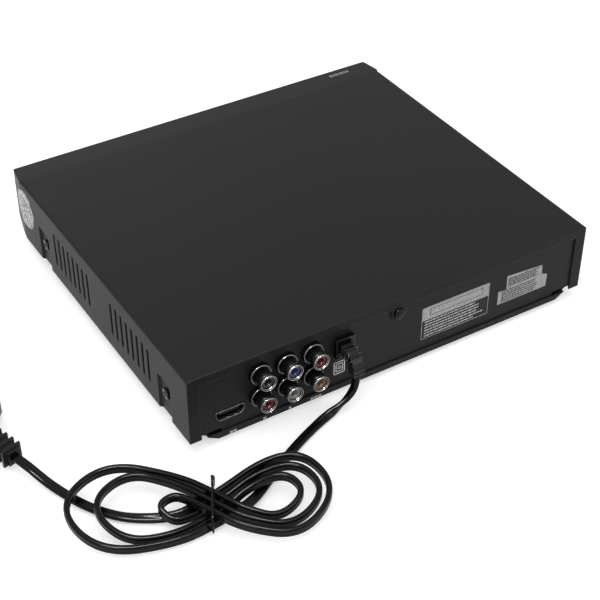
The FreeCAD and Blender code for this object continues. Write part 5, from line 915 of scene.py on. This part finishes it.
labels = {"face": 0.0952, "film": 0.00008, "print": 0.00003}
bars = {"lengths": (0.0009, 0.0036), "most": 40, "reach": (0.88, 1.0), "gap": 0.00035}
marks = {   # (left, right) of each, on the pan's rear strip and at the front of the cover
    "strip": 0.096, "low": 0.0029, "tall": 0.0012,
    "stripMarks": [(0.0886, 0.0902), (0.0906, 0.0922), (0.0729, 0.0746), (0.0594, 0.0606),
                   (0.0428, 0.0448), (0.0452, 0.0466), (0.047, 0.0488)],
    "top": 0.0429, "front": (-0.0989, -0.0967),
    "topMarks": [(-0.0972, -0.0957), (-0.0953, -0.094), (-0.0936, -0.0914), (-0.091, -0.0899),
                 (-0.0895, -0.088), (-0.0876, -0.0866), (-0.0862, -0.0843)],
}
rating = {
    "box": (-0.0545, 0.0114, -0.014, 0.0309), "band": 0.0228,
    "margin": 0.0006, "line": 0.00022,
    "rules": (0.002, 0.0014, 0.0008),   # inset of the bars at the sides, below and above
    "ruleTall": 0.0007, "rows": 6, "seed": 11,
    "panel": (0.004, 0.005, 0.0019, 0.0022), "panelLine": 0.0003,
}
patch = {
    "outline": [(-0.065, 0.0301), (-0.087, 0.0285), (-0.0874, 0.0229), (-0.091, 0.0215),
                (-0.0907, 0.014), (-0.0603, 0.0141), (-0.0603, 0.0222), (-0.0653, 0.0217)],
    "bars": [((-0.0857, 0.0232, -0.0660, 0.0282), 5, 3),   # box, rows and seed
             ((-0.0862, 0.0148, -0.0625, 0.0216), 6, 5)],
    "barTall": 0.0006,
}
squares = {"middle": (0.03255, 0.0153), "sizes": (0.0062, 0.0040, 0.0016), "line": 0.00045,
           "tall": 1.2}
seal = {
    "side": 0.1125, "seam": -0.09, "height": 0.0272, "radius": 0.0112, "film": 0.00009,
    "behind": 0.003, "bend": 0.0016, "lean": 0.138,
    "pole": 0.00001, "rings": (0.1, 1, 8), "turns": 64,
}


# Rows of bare bars of uneven lengths, from the right as seen from the front, each row ending
# short: they say nothing
def brokenBars(left, low, right, high, rows, tall, seed):
    draw = np.random.default_rng(seed)
    boxes = []
    for z in np.linspace(low, high - tall, rows):
        ends = right - np.cumsum(draw.uniform(*bars["lengths"], bars["most"]))
        ends = ends[ends > right - (right - left) * draw.uniform(*bars["reach"])]
        starts = np.concatenate([[right], ends[:-1]])
        boxes += [(b + bars["gap"], z, a, z + tall) for a, b in zip(starts, ends)]
    return boxes


# The four sides of a rectangle as bars of one width
def frameBars(left, low, right, high, line):
    return [(left, low, right, low + line), (left, high - line, right, high),
            (left, low, left + line, high), (right - line, low, right, high)]


# Bare marks beside the jacks and on top: they say nothing
def makeMarks():
    low, (near, far) = marks["low"], marks["front"]
    strip = [(left, low, right, low + marks["tall"]) for left, right in marks["stripMarks"]]
    addPlates("stripMarks", strip, marks["strip"], labels["print"], "labelPrint")
    top = [(left, near, right, far) for left, right in marks["topMarks"]]
    addPlates("topMarks", top, marks["top"], labels["print"], "faintPrint", lying=True)


# A dark film, a silver band on it with an empty panel, and a frame round rows of bars
def makeRating():
    (left, low, right, high), band = rating["box"], rating["band"]
    face, film, ink = labels["face"], labels["film"], labels["print"]
    margin, line = rating["margin"], rating["line"]
    addPlates("ratingFilm", [rating["box"]], face, film, "labelFilm")
    silver = (left + margin, band, right - margin, high - margin)
    addPlates("ratingBand", [silver], face + film, ink, "labelSilver")
    border = frameBars(left + line, low + line, right - line, high - line, line)
    aside, below, above = rating["rules"]
    rules = brokenBars(left + aside, low + below, right - aside, band - above, rating["rows"],
                       rating["ruleTall"], rating["seed"])
    addPlates("ratingRules", border + rules, face + film, ink, "labelPrint")
    leftIn, rightIn, down, up = rating["panel"]
    middle = (band + high) / 2
    panel = frameBars(left + leftIn, middle - down, right - rightIn, middle + up,
                      rating["panelLine"])
    addPlates("ratingInk", panel, face + film + ink, ink, "labelFilm")


# A stepped silver label, its outline raised by the film's depth, with bare bars on it
def makePatch():
    face, film = labels["face"], labels["film"]
    outline = np.array(patch["outline"])
    addOutlines("silverPatch", [(outline, face), (outline, face + film)], "labelSilver")
    boxes = [box for place, rows, seed in patch["bars"]
             for box in brokenBars(*place, rows, patch["barTall"], seed)]
    addPlates("patchBars", boxes, face + film, labels["print"], "labelFilm")


# Frames round one middle: half width = size / 2, half height = tall x size / 2
def makeSquares():
    x, z = squares["middle"]
    boxes = []
    for side in squares["sizes"]:
        wide, high = side / 2, side / 2 * squares["tall"]
        boxes += frameBars(x - wide, z - high, x + wide, z + high, squares["line"])
    addPlates("printedSquares", boxes, labels["face"], labels["print"], "whitePrint")


# A round foil seal: a polar grid on the side wall, x = side + film - lean x (how far it is in
# front of the bend), with its rim on the wall
def makeSeal():
    shares = np.concatenate([[seal["pole"]], np.linspace(*seal["rings"]), [1.0]])
    radius = shares[:, None] * seal["radius"]
    angle = np.linspace(0, math.tau, seal["turns"], endpoint=False)[None]
    y = seal["seam"] + seal["behind"] + radius * np.cos(angle)
    z = seal["height"] + radius * np.sin(angle)
    proud = np.full_like(radius, seal["film"])
    proud[-1] = 0.0
    over = np.clip(seal["seam"] - seal["bend"] - y, 0, None)
    x = seal["side"] + proud - seal["lean"] * over
    addMesh("sealFoil", np.stack([x, y, z], -1), tubeFaces(*y.shape, "open"), "sealFoil")


makeMarks()
makeRating()
makePatch()
makeSquares()
makeSeal()
print("labels laid on")


# Floor, lamps and a white surround

studio = {
    "floor": 1.6, "floorSink": 0.0001,
    "floorGrey": 0.8, "floorRoughness": 0.7, "floorGloss": 0.1, "floorGlow": 0.45,
    "surround": 0.55,
    "lamps": {   # place, aim, size and power
        "overhead": ((0.1, 0.1, 1.1), (0, 0, 0), (1.1, 0.9), 4.0),
        "rearLeft": ((0.9, 0.7, 0.5), (0.05, 0.05, 0.02), (0.5, 0.6), 4.6),
        "rearRight": ((-0.7, 1.0, 0.5), (0, 0.05, 0.02), (0.5, 0.5), 3.0),
        "strip": ((0.25, 0.35, 0.95), (0.1, 0.1, 0), (0.7, 0.12), 34.0),
        "frontLeft": ((0.9, -0.6, 0.4), (0.11, 0, 0.02), (0.4, 0.4), 1.4),
        "front": ((-0.1, -1.1, 0.6), (0, -0.05, 0.02), (0.8, 0.5), 0.8),
    },
    "highlights": "strip",   # the lamp that only draws highlights
}


# 1 for rays from the camera and for what gloss and glass show
def whiteToCamera(tree):
    rays = addNode(tree, "LightPath", {})
    first = mathNode(tree, "MAXIMUM", rays["Is Camera Ray"], rays["Is Glossy Ray"])
    return mathNode(tree, "MAXIMUM", first, rays["Is Transmission Ray"])


# A pale floor whose glow = floorGlow x whiteToCamera
def makeFloor():
    points = np.array([(-1, -1), (1, -1), (1, 1), (-1, 1)]) * studio["floor"]
    low = np.full(len(points), -studio["floorSink"])
    mesh = bpy.data.meshes.new("floor")
    mesh.from_pydata(np.column_stack([points, low]).tolist(), [], [(0, 1, 2, 3)])
    material = bpy.data.materials.new("paleFloor")
    material.use_nodes = True
    tree = material.node_tree
    feed(tree, tree.nodes["Principled BSDF"].inputs, {
        "Base Color": grey(studio["floorGrey"]), "Roughness": studio["floorRoughness"],
        "Specular IOR Level": studio["floorGloss"], "Emission Color": grey(1),
        "Emission Strength": mathNode(tree, "MULTIPLY", whiteToCamera(tree), studio["floorGlow"])})
    mesh.materials.append(material)
    floor = addObject("floor", mesh)


# Strength = surround + (1 - surround) x whiteToCamera
def makeSurround():
    world = bpy.data.worlds.new("surround")
    world.use_nodes = True
    tree = world.node_tree
    extra = mathNode(tree, "MULTIPLY", whiteToCamera(tree), 1 - studio["surround"])
    feed(tree, tree.nodes["Background"].inputs, {
        "Color": grey(1), "Strength": mathNode(tree, "ADD", extra, studio["surround"])})
    bpy.context.scene.world = world


# Each lamp's -Z axis points from its place to its aim
def makeLamps():
    for name, (place, aim, size, power) in studio["lamps"].items():
        data = bpy.data.lights.new(name, "AREA")
        data.shape = "RECTANGLE"
        data.size, data.size_y = size
        data.energy = power
        light = addObject(name, data)
        light.location = place
        light.visible_diffuse = name != studio["highlights"]
        way = Vector(aim) - Vector(place)
        light.rotation_euler = way.to_track_quat("-Z", "Y").to_euler()


makeFloor()
makeSurround()
makeLamps()
bpy.context.scene.view_settings.view_transform = "Standard"
print("studio lit")

bpy.context.view_layer.update()
